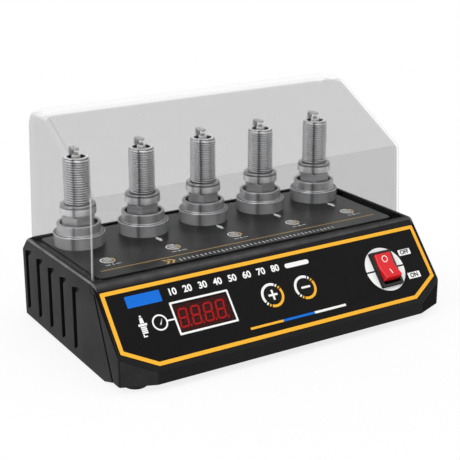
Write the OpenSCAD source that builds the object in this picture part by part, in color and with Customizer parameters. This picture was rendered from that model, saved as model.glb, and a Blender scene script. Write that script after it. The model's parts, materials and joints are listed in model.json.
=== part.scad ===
// Bench tester for spark plugs: a low black case with a sloped control panel, five sockets in a row on
// its deck, a plug standing upside down in each socket, and a clear cover that lifts off.
// Millimetres. X runs to the right along the panel, Y to the rear, Z up from the table.

/* [Case] */
// Width of the case over its side walls
case_w = 195; // [194:0.5:196]
// Depth of the case from the front skirt to the rear wall
case_d = 117; // [116.5:0.5:117.5]
// Height of the case's rim above the table
rim_z = 46.5; // [46.5:0.1:46.8]
// Thickness of the housing's walls
wall = 2.7; // [2.6:0.1:2.8]
// Height of the housing's lower edge above the table
housing_z = 3; // [2.6:0.1:3.4]
// Height of the fascia's lower edge above the table
skirt_z = 3.4; // [3:0.1:3.5]
// Radius of the rounded bar above the panel
rim_r = 3.4; // [2.6:0.1:3.4]
// Radius of the rim's outer edge at the sides and the rear
edge_r = 1; // [0.6:0.1:1.4]
// Length along the front of each chamfered lower corner
corner_cut_x = 17.1; // [15:0.1:18]
// Length along the side of each chamfered lower corner
corner_cut_y = 6.8; // [6:0.1:7.5]
// Size of the facet that cuts each rear top corner
rear_facet = 7.5; // [6:0.5:7.5]

/* [Side louvres] */
// Number of louvres in each side wall
louvre_count = 5; // [2:1:5]
// Distance from one louvre to the next
louvre_pitch = 14.4; // [13:0.1:14.6]
// Width of a louvre's slot
louvre_w = 3.6; // [3:0.1:4]
// Depth of a louvre's slot
louvre_depth = 1.7; // [1:0.1:1.8]
// Length of the hook at the top of a louvre, from its rear edge
louvre_hook = 8.1; // [7:0.1:9]

/* [Front panel] */
// Angle of the panel from the horizontal
panel_angle = 49; // [48.8:0.1:49.2]
// Distance ahead of the case's centre of the print's upper edge
panel_y = 29.66; // [29.5:0.01:29.8]
// Height of the print's upper edge above the table
panel_z = 42.69; // [42.6:0.01:42.8]
// Thickness of the fascia's walls
panel_wall = 3; // [2.8:0.1:3]
// Width of the printed overlay
print_w = 191; // [189:0.5:191]
// Length of the printed overlay down the slope
print_l = 40.8; // [40:0.1:40.8]
// Thickness of the printed overlay
print_t = 0.4; // [0.2:0.1:0.6]

/* [Panel fittings] */
// Centre of the display window across the panel
display_x = -46.15; // [-47:0.05:-45]
// Centre of the display window down the slope
display_s = 20.45; // [20:0.05:21]
// Width of the display window
display_w = 30.1; // [29:0.1:31]
// Height of the display window
display_h = 14.1; // [13:0.1:15]
// Place of the plus key across the panel
plus_x = -5.9; // [-8:0.1:-4]
// Place of the minus key across the panel
minus_x = 14.3; // [13:0.1:16]
// Place of both keys down the slope
key_s = 20.3; // [19.5:0.1:21]
// Diameter of a key cap
key_d = 9.7; // [9:0.1:10.2]
// Travel of a key
key_travel = 0.4; // [0.2:0.1:0.4]
// Place of the rocker switch across the panel
switch_x = 66.5; // [65:0.1:67]
// Place of the rocker switch down the slope
switch_s = 20.9; // [20.5:0.1:21]
// Tilt of the rocker either side of level
rocker_tilt = 9; // [6:0.5:9]

/* [Deck] */
// Height of the deck's top face above the table
deck_z = 45.6; // [45.5:0.1:45.8]
// Width of the deck's raised middle
deck_w = 180; // [178:1:181]
// Diameter of an indicator lens
lens_d = 5; // [4:0.1:5]
// Distance of the indicator lenses behind the case's centre
lens_y = 2; // [0:0.5:4]

/* [Cover] */
// Width of the cover at its lower edge
cover_w = 188.4; // [187.6:0.1:188.6]
// Wall thickness of the cover
cover_wall = 2.6; // [2.2:0.1:2.8]
// Height of the cover's flat top above the table
cover_top = 115.9; // [115:0.1:118]
// Height of the fold between the cover's front and slope
fold_z = 86.8; // [84:0.1:90]
// Taper of each side wall from lower edge to top
cover_draft = 2.4; // [1:0.1:3]

/* [Sockets] */
// Number of sockets
socket_count = 5; // [5:1:5]
// Distance from one socket to the next
socket_pitch = 37.55; // [37:0.05:38]
// Distance of the socket row behind the case's centre
socket_y = 34.3; // [34:0.1:34.6]
// Diameter of the flange and the boss under it
flange_d = 27.2; // [27:0.1:28]
// Height of the flange's lower face above the table
flange_z = 51.3; // [51:0.1:51.3]
// Outside diameter of the plated collar
collar_d = 22.9; // [22.5:0.1:23.5]
// Height of the collar's rim above the table
collar_z = 57.3; // [56:0.1:58]

/* [Spark plug] */
// Outside diameter of the thread
thread_d = 14; // [13.8:0.1:14]
// Pitch of the thread
thread_pitch = 1.25; // [1.25:0.25:1.5]
// Distance across the flats of the hexagon
hex_af = 16; // [15.6:0.1:16.4]
// Diameter of the shell's shoulder
shoulder_d = 18.9; // [18.4:0.1:19.2]
// Height of the hexagon's lower face above the table
hex_z = 52.5; // [52.5:0.1:52.8]
// Height of the thread's open end above the table
thread_top = 91.9; // [91.5:0.1:92.3]

/* [Hidden] */
$fn = 64;
gap = 0.15;
case_hw = case_w / 2;
case_hd = case_d / 2;
arc_steps = 6;

// Ledge that carries the deck, and the recess above it
ledge_t = 2.1;
ledge_z = 40;
ledge_top = ledge_z + ledge_t;
recess_hw = cover_w / 2 + 0.5;
recess_front = -24.2;
recess_back = case_hd - 2.9;
recess_r = 4;
ledge_in = 3.7;
front_ledge = 4.2;
groove_front = 4.8;
groove_rear = 4.7;
louvre_rear = 4.4;
louvre_low = 7;
louvre_high = 38.5;
rear_r = 1.5;

// Seam between the housing and the fascia, seen from the side
seam_y = -28.5;
seam_z = 41.5;
seam_lean = 0.43;
seam_w = 1.3;
seam_depth = 0.9;

// Floor of the case
floor_z = 3.6;
floor_t = 2.2;
floor_top = floor_z + floor_t;
foot_r = 6.5;
foot_x = 86;
foot_y = 46;
foot_pocket = 0.8;
post_r = 3.5;
pilot_r = 1.45;
pilot_depth = 10;
front_pilot_depth = 6;
screw_head_r = 2.7;
screw_head_t = 1.3;
rear_posts = [[-91.5, 28], [91.5, 28], [-91.5, -18], [91.5, -18]];
front_posts = [[-75, -51], [75, -51]];
front_post_top = 15;
deck_screw_x = recess_hw - ledge_in / 2;
deck_screw_y = [-10, 47];
deck_screw_r = 0.95;

// Boards
board_t = 1.6;
main_board_z = 9.6;
main_board_hw = 82;
main_board_y = [-16, 50];
main_screws = [[-76, -12], [76, -12], [-57, 47], [30, 47]];
standoff_r = 3;
standoff_pilot_r = 1.1;
coil_y = 4;
control_h = -8.8;
board_post_r = 2.6;
board_pilot_r = 0.9;
window_t = 1.6;
control_x = [-76, 30];
control_s = [4.5, 36.5];
control_screws = [[-72, -8], [26, -8], [-72, -33], [26, -33]];
indicator_board_z = 34;
indicator_posts = [-1.5, -0.5, 0.5, 1.5];
lamp_z = 41;

// Lower edge of the cover, in the groove round the deck
cover_low = 43.5;
cover_front = -22.6;
cover_back = 55.1;

// Sockets and contacts
stem_r = 10.8;
stem_z = 15;
socket_bore_r = 7.75;
socket_floor = 4;
collar_in_r = 9.7;
flange_t = 0.9;
leg_r = 0.9;
leg_x = 12.3;
bus_z = 39.6;
bus_t = 1;
cup_r = 4.2;
cup_in_r = 3.4;
cup_top = 26;
stud_r = 1.5;

// Spark plug, from the terminal up to the ground electrode
terminal_z = 20.5;
ceramic_z = 28;
crimp_z = 50;
crimp_r = 7.3;
neck_r = 7.9;
seat_z = 72;
hex_top = 61.6;
shoulder_z = 62.2;
gasket_z = 66.1;
gasket_t = 1.3;
rod_r = 1.2;
shell_bore_r = 5.3;
mouth_r = 4.7;
thread_depth = 0.68;
nose_z = thread_top + 0.9;
electrode_z = thread_top + 1.9;
strap_top = thread_top + 4.5;
strap_t = 1.25;
strap_w = 2.6;
strap_leg_r = 6.1;

// Rocker switch
bezel = [14.4, 20.4, 2];
switch_body = [12.6, 18.6, 13];
rocker_len = 15;
rocker_w = 10.4;
rocker_h = 3.6;
rocker_axis_h = -2;
rocker_pin_r = 1.2;
rocker_pin_l = 11.8;
well = [10.9, 17.2, 9];
terminal_s = [-5, 5];

// Power inlet in the rear wall
jack_x = 60;
jack_z = 22;
jack_r = 4;
jack_lip_r = 5.2;
jack_lip_depth = 0.8;
jack_bore_r = 3.2;
jack_pin_r = 1;

body_black = [0.10, 0.10, 0.11];
gloss_black = [0.05, 0.05, 0.06];
plated = [0.72, 0.72, 0.74];
board_green = [0.05, 0.30, 0.16];
brass = [0.80, 0.66, 0.35];

// Unit vector from one plane point to another
function toward(a, b) = let (d = [b[0] - a[0], b[1] - a[1]]) d / norm(d);

// Centre of an arc of radius r that rounds the corner b between its neighbours a and c
function arc_centre(a, b, c, r) =
    let (u = toward(b, a), v = toward(b, c), half = acos(u * v) / 2)
    [b[0], b[1]] + (u + v) / norm(u + v) * r / sin(half);

// Points of the arc that rounds the corner b = [x, y, radius], or the corner itself
function round_corner(a, b, c) =
    b[2] == 0 ? [[b[0], b[1]]] :
    let (u = toward(b, a), v = toward(b, c), half = acos(u * v) / 2, m = arc_centre(a, b, c, b[2]),
         p = [b[0], b[1]] + u * b[2] / tan(half) - m, q = [b[0], b[1]] + v * b[2] / tan(half) - m,
         from = atan2(p[1], p[0]), sweep = (atan2(q[1], q[0]) - from + 540) % 360 - 180)
    [for (k = [0:arc_steps]) let (a = from + sweep * k / arc_steps) m + b[2] * [cos(a), sin(a)]];

// Outline through corners given as [x, y, radius]
function round_poly(c) =
    [for (i = [0:len(c) - 1]) each round_corner(c[(i + len(c) - 1) % len(c)], c[i], c[(i + 1) % len(c)])];

// Corners of a rectangle, all with one radius
function rect(x0, y0, x1, y1, r = 0) = [[x0, y0, r], [x1, y0, r], [x1, y1, r], [x0, y1, r]];

// The panel's plane moved in by d: its height at depth y and its depth at height z
function slope_z(y, d) = panel_z + (y + panel_y) * tan(panel_angle) - d / cos(panel_angle);
function slope_y(z, d) = (z - panel_z + d / cos(panel_angle)) / tan(panel_angle) - panel_y;

// Depth of the seam at height z
function seam_at(z) = seam_y - (seam_z - z) * seam_lean;

// Plan of the case moved in by d, with the chamfered front corners
function plan_corners(d) =
    let (cut = norm([corner_cut_x, corner_cut_y]), nx = corner_cut_y / cut, ny = corner_cut_x / cut,
         reach = nx * case_hw + ny * (case_hd - corner_cut_y) - d,
         side_y = (nx * (case_hw - d) - reach) / ny, front_x = (reach - ny * (case_hd - d)) / nx, r = 1.5)
    [[case_hw - d, case_hd - d, max(rear_r - d, 0.3)], [d - case_hw, case_hd - d, max(rear_r - d, 0.3)],
     [d - case_hw, side_y, r], [-front_x, d - case_hd, r], [front_x, d - case_hd, r],
     [case_hw - d, side_y, r]];

// Place of socket i along the row
function socket_x(i) = (i - (socket_count + 1) / 2) * socket_pitch;

// Extrude an outline drawn in Y and Z along X, centred
module across(w) {
    rotate([90, 0, 90]) linear_extrude(w, center = true) children();
}

// Extrude an outline drawn in X and Z along Y, centred
module along(d) {
    rotate([90, 0, 0]) linear_extrude(d, center = true) children();
}

// Panel frame: X across, Y up the slope from the print's upper edge, Z out of the panel
module on_panel() {
    translate([0, -panel_y, panel_z]) rotate([panel_angle, 0, 0]) children();
}

// Axis of socket i, standing on the table
module at_socket(i) {
    translate([socket_x(i), socket_y, 0]) children();
}

// Axes of the indicator lenses
module at_lenses() {
    for (i = [1:socket_count]) translate([socket_x(i), lens_y, 0]) children();
}

module at_sockets() {
    for (i = [1:socket_count]) at_socket(i) children();
}

// Outer form of the whole case, moved in by d and closed at height top
module case_form(d, top) {
    front = d - case_hd;
    hw = case_hw - d;
    below = -5;
    side = [[case_hd - d, below, 0], [case_hd - d, top, edge_r], [slope_y(top, d), top, rim_r],
        [front, slope_z(front, d), 1.2], [front, below, 0]];
    face = [[-hw, below, 0], [-hw, top, edge_r], [hw, top, edge_r], [hw, below, 0]];
    intersection() {
        across(2 * case_w) polygon(round_poly(side));
        along(2 * case_d) polygon(round_poly(face));
        linear_extrude(4 * rim_z, center = true) polygon(round_poly(plan_corners(d)));
    }
}

// One louvre in the right side wall: a blind slot whose top hooks forward and whose foot slants
module louvre(rear_y) {
    hook = 3.4;
    foot = 2.5;
    tip = 0.6;
    outline = [[rear_y, louvre_low, 0.4], [rear_y - louvre_w, louvre_low + foot, 0.8],
        [rear_y - louvre_w, louvre_high - tip, 1], [rear_y - louvre_hook, louvre_high + hook - tip, 0.2],
        [rear_y - louvre_hook + tip, louvre_high + hook, 0.2], [rear_y - tip, louvre_high + hook / 2, 1.2],
        [rear_y, louvre_high, 1]];
    translate([case_hw, 0, 0]) across(2 * louvre_depth) polygon(round_poly(outline));
}

// Groove along the seam in the side walls, cut into both shells
module seam_groove() {
    low = -5;
    half = seam_w / 2;
    difference() {
        across(2 * case_w) polygon([[seam_at(low) - half, low], [seam_at(low) + half, low],
            [seam_at(ledge_top) + half, ledge_top], [seam_at(ledge_top) - half, ledge_top]]);
        case_form(seam_depth, rim_z);
    }
}

// Cylinder from one height to another
module rod(r, z0, z1) {
    translate([0, 0, z0]) cylinder(r = r, h = z1 - z0);
}

// Half space outside the facet of a rear top corner, on the side -1 or 1
module rear_corner_cut(side) {
    translate([side * case_hw, case_hd - rear_facet, rim_z])
        rotate([0, side * acos(1 / sqrt(3)), side * 45])
        translate([-case_d, -case_d, 0]) cube(2 * case_d);
}

// Axis of the power inlet, pointing out of the rear wall
module on_inlet() {
    translate([jack_x, 0, jack_z]) rotate([-90, 0, 0]) children();
}

// Places of the screws that hold the deck from below
module at_deck_screws() {
    for (side = [-1, 1], y = deck_screw_y) translate([side * deck_screw_x, y, 0]) children();
}

// Places of the feet
module at_feet() {
    for (x = [-foot_x, foot_x], y = [-foot_y, foot_y]) translate([x, y, 0]) children();
}

module housing() {
    rear_region = [[case_d, housing_z], [case_d, 2 * rim_z], [recess_front, 2 * rim_z],
        [recess_front, ledge_top], [seam_at(ledge_top), ledge_top], [seam_at(housing_z), housing_z]];
    hollow_hw = case_hw - wall;
    ledge_hw = recess_hw - ledge_in;
    inner_r = 2;
    color(body_black) difference() {
        union() {
            difference() {
                intersection() {
                    case_form(0, rim_z);
                    across(2 * case_w) polygon(rear_region);
                }
                linear_extrude(2 * ledge_z, center = true)
                    polygon(round_poly(rect(-hollow_hw, -case_d, hollow_hw, case_hd - wall, inner_r)));
                linear_extrude(2 * rim_z)
                    polygon(round_poly(rect(-ledge_hw, recess_front + front_ledge, ledge_hw,
                                            recess_back - ledge_in, inner_r)));
                translate([0, 0, ledge_top]) linear_extrude(rim_z)
                    polygon(round_poly(rect(-recess_hw, -case_d, recess_hw, recess_back, recess_r)));
            }
            for (p = rear_posts) translate(p) rod(post_r, floor_top, ledge_z + 1);
        }
        for (side = [0, 1], k = [0:louvre_count - 1])
            mirror([side, 0, 0]) louvre(case_hd - louvre_rear - k * louvre_pitch);
        for (side = [-1, 1]) rear_corner_cut(side);
        seam_groove();
        for (p = rear_posts) translate(p) rod(pilot_r, 0, floor_top + pilot_depth);
        at_deck_screws() rod(deck_screw_r + 0.3, ledge_z - 1, rim_z);
        on_inlet() {
            rod(jack_r + 0.05, case_hd - 2 * wall, case_d);
            rod(jack_lip_r + 0.2, case_hd - jack_lip_depth, case_d);
        }
    }
}

module front_fascia() {
    back = recess_front - gap;
    step = ledge_top + gap;
    hollow_top = ledge_top - 0.6;
    front_region = [[back, 2 * rim_z], [back, step], [seam_at(step) - gap, step],
        [seam_at(skirt_z) - gap, skirt_z], [-case_d, skirt_z], [-case_d, 2 * rim_z]];
    color(body_black) difference() {
        union() {
            difference() {
                intersection() {
                    case_form(0, rim_z);
                    across(2 * case_w) polygon(front_region);
                }
                case_form(panel_wall, hollow_top);
            }
            on_panel() for (p = control_screws) translate(p) rod(board_post_r, control_h, 0.2 - panel_wall);
            for (p = front_posts) translate(p) rod(post_r, floor_top, front_post_top);
        }
        on_panel() {
            translate([0, 0, -print_t]) linear_extrude(panel_wall) polygon(print_outline(gap));
            panel_cutouts(panel_wall + 1);
            for (p = control_screws) translate(p) rod(board_pilot_r, control_h - 1, control_h + 4);
        }
        for (p = front_posts) translate(p) rod(pilot_r, 0, floor_top + front_pilot_depth);
        seam_groove();
    }
}

// Outline of the printed overlay in the panel's plane, made larger by d
function print_outline(d) =
    let (hw = print_w / 2 + d, low = -print_l - d, cut_x = corner_cut_x, cut_y = 9.8)
    round_poly([[-hw, d, 0.8], [hw, d, 0.8], [hw, low + cut_y, 0.8], [hw - cut_x, low, 0.8],
        [cut_x - hw, low, 0.8], [-hw, low + cut_y, 0.8]]);

// Openings through the panel for the display, the keys and the switch
module panel_cutouts(depth) {
    window = [display_w + 0.2, display_h + 0.2, 2 * depth];
    body = [switch_body[0] + 0.3, switch_body[1] + 0.3, 2 * depth];
    translate([display_x, -display_s, 0]) cube(window, center = true);
    for (x = [plus_x, minus_x]) translate([x, -key_s, 0]) rod(key_d / 2 + 0.3, -depth, depth);
    translate([switch_x, -switch_s, 0]) cube(body, center = true);
}

module base_plate() {
    outline = round_poly(plan_corners(panel_wall + 0.2));
    color(body_black) difference() {
        union() {
            translate([0, 0, floor_z]) linear_extrude(floor_t) polygon(outline);
            for (p = main_screws) translate(p) rod(standoff_r, floor_z, main_board_z);
        }
        for (p = concat(rear_posts, front_posts)) translate(p) {
            rod(pilot_r, 0, floor_top + 1);
            rod(screw_head_r + 0.2, 0, floor_z + screw_head_t + 0.1);
        }
        for (p = main_screws) translate(p) rod(standoff_pilot_r, floor_top, main_board_z + 1);
        at_feet() rod(foot_r + 0.1, 0, floor_z + foot_pocket);
    }
}

module rubber_feet() {
    top = floor_z + foot_pocket;
    bevel = 0.8;
    color([0.08, 0.08, 0.08]) at_feet() rotate_extrude()
        polygon([[0, 0], [foot_r - bevel, 0], [foot_r, bevel], [foot_r, top], [0, top]]);
}

// Pan-head screw standing on its head, with a cross recess as a blind hole
module screw(head_r, head_t, shank_r, length) {
    difference() {
        union() {
            rod(head_r, 0, head_t);
            rod(shank_r, head_t, head_t + length);
        }
        rod(head_r / 3, -1, head_t / 2);
    }
}

module base_screws() {
    color(plated) {
        for (p = rear_posts) translate([p[0], p[1], floor_z + 0.1])
            screw(screw_head_r, screw_head_t, pilot_r - 0.05, pilot_depth - 1);
        for (p = front_posts) translate([p[0], p[1], floor_z + 0.1])
            screw(screw_head_r, screw_head_t, pilot_r - 0.05, front_pilot_depth);
    }
}

module deck_plate() {
    rim_gap = 0.3;
    lip_t = 1.1;
    lip_hw = recess_hw - rim_gap;
    lip = rect(-lip_hw, recess_front + rim_gap, lip_hw, recess_back - rim_gap, recess_r);
    middle = rect(-deck_w / 2, recess_front + groove_front, deck_w / 2, recess_back - groove_rear, 3);
    color(gloss_black) difference() {
        union() {
            translate([0, 0, ledge_top]) linear_extrude(lip_t) polygon(round_poly(lip));
            translate([0, 0, ledge_top]) linear_extrude(deck_z - ledge_top) polygon(round_poly(middle));
            for (k = indicator_posts) translate([k * socket_pitch, lens_y, 0])
                rod(2.5, indicator_board_z + board_t, ledge_top + 0.5);
        }
        at_sockets() {
            rod(stem_r + 0.2, 0, rim_z);
            for (x = [-leg_x, leg_x]) translate([x, 0, 0]) rod(leg_r + 0.2, 0, rim_z);
        }
        at_lenses() rod(lens_d / 2 + 0.05, 0, rim_z);
        at_deck_screws() rod(deck_screw_r + 0.05, 0, ledge_top + 0.8);
    }
}

module deck_screws() {
    head_t = 1.1;
    color(plated) at_deck_screws() translate([0, 0, ledge_z - head_t])
        screw(1.7, head_t, deck_screw_r, ledge_t + 0.7);
}

// Corner barrel of the cover: its bend along X, with the side edges rounded by side_r
module bend(centre, r, half_w, side_r) {
    translate([0, centre[0], centre[1]]) rotate([0, 90, 0]) rotate_extrude($fn = 32)
        polygon(round_poly([[0, -half_w, 0], [r, -half_w, side_r], [r, half_w, side_r], [0, half_w, 0]]));
}

// Solid form of the cover moved in by d, from the height low up
module cover_form(d, low) {
    foot_hw = cover_w / 2;
    top_hw = foot_hw - cover_draft;
    fold_hw = foot_hw - cover_draft * (fold_z - cover_low) / (cover_top - cover_low);
    side_r = 3.6;
    profile = [[cover_front, low], [cover_front + 1.2, fold_z], [31.3, cover_top],
        [cover_back + 0.5, cover_top], [cover_back, low]];
    bends = [0, 5, 5, 10, 0];
    hull() {
        translate([0, 0, low]) linear_extrude(0.1)
            polygon(round_poly(rect(d - foot_hw, cover_front + d, foot_hw - d, cover_back - d, side_r - d)));
        for (k = [1:3]) {
            m = arc_centre(profile[k - 1], profile[k], profile[k + 1], bends[k]);
            bend(m, bends[k] - d, (k == 1 ? fold_hw : top_hw) - d, side_r - d);
        }
    }
}

module cover() {
    color([0.80, 0.85, 0.88, 0.35]) difference() {
        cover_form(0, cover_low);
        cover_form(cover_wall, cover_low - 1);
    }
}

module front_overlay() {
    color([0.12, 0.12, 0.12]) on_panel() difference() {
        translate([0, 0, -print_t]) linear_extrude(print_t) polygon(print_outline(0));
        panel_cutouts(2);
    }
}

module display_window() {
    color([0.30, 0.06, 0.05]) on_panel() translate([display_x, -display_s, -window_t / 2])
        cube([display_w, display_h, window_t], center = true);
}

module display_module() {
    depth = -control_h - window_t - 0.1;
    color([0.12, 0.05, 0.05]) on_panel() translate([display_x, -display_s, control_h + depth / 2])
        cube([display_w - 0.1, display_h - 0.1, depth], center = true);
}

module control_board() {
    color(board_green) on_panel() difference() {
        translate([0, 0, control_h - board_t]) linear_extrude(board_t)
            polygon(round_poly(rect(control_x[0], -control_s[1], control_x[1], -control_s[0], 2)));
        for (p = control_screws) translate(p) rod(1.1, control_h - 3, control_h + 1);
    }
}

module key_switches() {
    can = 6;
    color([0.20, 0.20, 0.21]) on_panel() for (x = [plus_x, minus_x]) translate([x, -key_s, control_h]) {
        translate([-can / 2, -can / 2, 0]) cube([can, can, 3.4]);
        rod(1.7, 0, 3.9);
    }
}

// Round key cap with the flange that keeps it behind the panel
module key_cap(x) {
    flange_r = 6.2;
    flange_top = -panel_wall - 0.3;
    low = flange_top - 1;
    proud = 0.5;
    color([0.11, 0.11, 0.11]) on_panel() translate([x, -key_s, 0]) rotate_extrude()
        polygon(round_poly([[0, low, 0], [flange_r, low, 0], [flange_r, flange_top, 0],
            [key_d / 2, flange_top, 0], [key_d / 2, proud, 0.3], [0, proud, 0]]));
}

module plus_key() {
    key_cap(plus_x);
}

module minus_key() {
    key_cap(minus_x);
}

module switch_frame() {
    half = [bezel[0], bezel[1]] / 2;
    color([0.10, 0.10, 0.10]) on_panel() translate([switch_x, -switch_s, 0]) difference() {
        union() {
            linear_extrude(bezel[2]) polygon(round_poly(rect(-half[0], -half[1], half[0], half[1], 1.2)));
            translate([0, 0, -switch_body[2] / 2]) cube(switch_body, center = true);
        }
        translate([0, 0, bezel[2]]) cube([well[0], well[1], 2 * well[2]], center = true);
        translate([0, 0, rocker_axis_h]) rotate([0, 90, 0])
            rod(rocker_pin_r + 0.05, -rocker_pin_l / 2 - gap, rocker_pin_l / 2 + gap);
        for (s = terminal_s) translate([0, s, -switch_body[2]]) cube([5, 1, 4], center = true);
    }
}

module rocker() {
    half = rocker_len / 2;
    dip = 1.3;
    outline = [[-half, rocker_h, 0.6], [0, rocker_h - dip, 9], [half, rocker_h, 0.6],
        [half - 0.4, -1.2, 0.5], [2.6, -3.2, 1], [-2.6, -3.2, 1], [0.4 - half, -1.2, 0.5]];
    about_axis = [for (c = outline) [c[0], c[1] - rocker_axis_h, c[2]]];
    color([0.85, 0.10, 0.12]) on_panel()
        translate([switch_x, -switch_s, rocker_axis_h]) rotate([-rocker_tilt, 0, 0]) {
            across(rocker_w) polygon(round_poly(about_axis));
            rotate([0, 90, 0]) rod(rocker_pin_r, -rocker_pin_l / 2, rocker_pin_l / 2);
        }
}

module switch_terminals() {
    blade = [4.8, 0.8, 8.8];
    color(brass) on_panel() for (s = terminal_s)
        translate([switch_x, s - switch_s, -switch_body[2]]) difference() {
            translate([0, 0, -2.6]) cube(blade, center = true);
            translate([0, 0, -5]) rotate([90, 0, 0]) rod(0.8, -1, 1);
        }
}

module indicator_lenses() {
    r = lens_d / 2;
    low = lamp_z + 1;
    color([0.78, 0.78, 0.76]) at_lenses() rotate_extrude()
        polygon(round_poly([[0, low, 0], [r, low, 0], [r, deck_z + 0.3, 0.4], [0, deck_z + 0.5, 0]]));
}

module indicator_leds() {
    r = 1.5;
    seat = indicator_board_z + board_t;
    color([0.85, 0.84, 0.70]) at_lenses() {
        rod(r + 0.5, seat, seat + 1);
        rod(r, seat, lamp_z - r);
        translate([0, 0, lamp_z - r]) sphere(r);
    }
}

module indicator_board() {
    color(board_green) translate([0, lens_y, indicator_board_z]) linear_extrude(board_t)
        polygon(round_poly(rect(-main_board_hw, -5, main_board_hw, 5, 1)));
}

module main_board() {
    color(board_green) difference() {
        translate([0, 0, main_board_z]) linear_extrude(board_t)
            polygon(round_poly(rect(-main_board_hw, main_board_y[0], main_board_hw, main_board_y[1], 2)));
        for (p = main_screws) translate(p) rod(1.3, 0, rim_z);
        at_sockets() rod(stud_r + 0.1, 0, rim_z);
    }
}

module board_screws() {
    color(plated) {
        for (p = main_screws) translate([p[0], p[1], main_board_z + board_t + screw_head_t])
            rotate([180, 0, 0]) screw(2.2, screw_head_t, standoff_pilot_r - 0.05, 4.5);
        on_panel() for (p = control_screws) translate([p[0], p[1], control_h - board_t - 1.1])
            screw(1.9, 1.1, board_pilot_r - 0.05, 4.8);
    }
}

module ignition_coils() {
    half = 11;
    tall = 17.8;
    tower = [5, 2.5];
    color([0.13, 0.12, 0.12]) for (i = [1:socket_count])
        translate([socket_x(i), coil_y, main_board_z + board_t]) {
            linear_extrude(tall) polygon(round_poly(rect(-half, -half, half, half, 2)));
            rod(tower[0], 0, tall + tower[1]);
        }
}

// Flat cable from the control board's rear to the main board's front edge
module ribbon_cable() {
    thickness = 0.8;
    route = [[-37.2, 17.3], [-34.5, 15.2], [-31, 13.4], [-26, 12.6], [-21, 12.4], [-16.5, 12.2], [-12, 12]];
    upper = [for (k = [len(route) - 1:-1:0]) route[k] + [0, thickness]];
    color([0.55, 0.56, 0.58]) translate([-18, 0, 0]) across(13) polygon(concat(route, upper));
}

module contact_cups() {
    seat = stem_z + socket_floor;
    low = main_board_z - 1;
    floor_of_cup = seat + 1.1;
    color(brass) at_sockets() rotate_extrude()
        polygon([[0, low], [stud_r, low], [stud_r, seat], [cup_r, seat], [cup_r, cup_top],
            [cup_in_r, cup_top], [cup_in_r, floor_of_cup], [0, floor_of_cup]]);
}

module ground_bus() {
    half = [87, 15];
    color(brass) difference() {
        translate([-half[0], socket_y - half[1], bus_z]) cube([2 * half[0], 2 * half[1], bus_t]);
        at_sockets() {
            rod(stem_r + 0.4, 0, rim_z);
            for (x = [-leg_x, leg_x]) translate([x, 0, 0]) rod(leg_r + 0.05, 0, rim_z);
        }
    }
}

module dc_jack() {
    mouth = case_hd - 0.1;
    block = [10, 10, 5];
    block_z = case_hd - 14.5;
    bore_floor = block_z + block[2];
    color([0.10, 0.10, 0.10]) on_inlet() {
        difference() {
            union() {
                rod(jack_r, block_z, mouth);
                rod(jack_lip_r, case_hd - jack_lip_depth, mouth);
                translate([-block[0] / 2, -block[1] / 2, block_z]) cube(block);
            }
            rod(jack_bore_r, bore_floor, case_d);
        }
        rod(jack_pin_r, bore_floor - 1, mouth - 1.1);
    }
}

module jack_nut() {
    nut_t = 2.5;
    color(plated) on_inlet() difference() {
        translate([0, 0, case_hd - wall - nut_t - 0.1]) cylinder(r = 6.4, h = nut_t, $fn = 6);
        rod(jack_r + 0.05, 0, case_d);
    }
}

// Dark moulded boss on the deck, with the deep stem that insulates the plug's terminal
module socket_insulator() {
    r = flange_d / 2;
    color(gloss_black) difference() {
        rotate_extrude() polygon(round_poly([[0, stem_z, 0], [stem_r, stem_z, 1], [stem_r, deck_z, 0],
            [r, deck_z, 0], [r, flange_z, 0.6], [0, flange_z, 0]]));
        rod(socket_bore_r, stem_z + socket_floor, 2 * flange_z);
        rod(stud_r + 0.1, 0, rim_z);
        for (x = [-leg_x, leg_x]) translate([x, 0, 0]) rod(leg_r + 0.1, 0, 2 * rim_z);
    }
}

// Plated flange and collar that hold the plug's hexagon, with two legs down to the ground strip
module ground_collar() {
    r = flange_d / 2;
    bore_r = socket_bore_r + 0.15;
    top = flange_z + flange_t;
    color(plated) {
        rotate_extrude() polygon(round_poly([[bore_r, flange_z, 0], [r, flange_z, 0.3], [r, top, 0.3],
            [collar_d / 2, top, 0], [collar_d / 2, collar_z, 0.4], [collar_in_r, collar_z, 0.4],
            [collar_in_r, top, 0], [bore_r, top, 0]]));
        for (x = [-leg_x, leg_x]) translate([x, 0, 0]) rod(leg_r, bus_z - 1.2, flange_z + flange_t / 2);
    }
}

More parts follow.
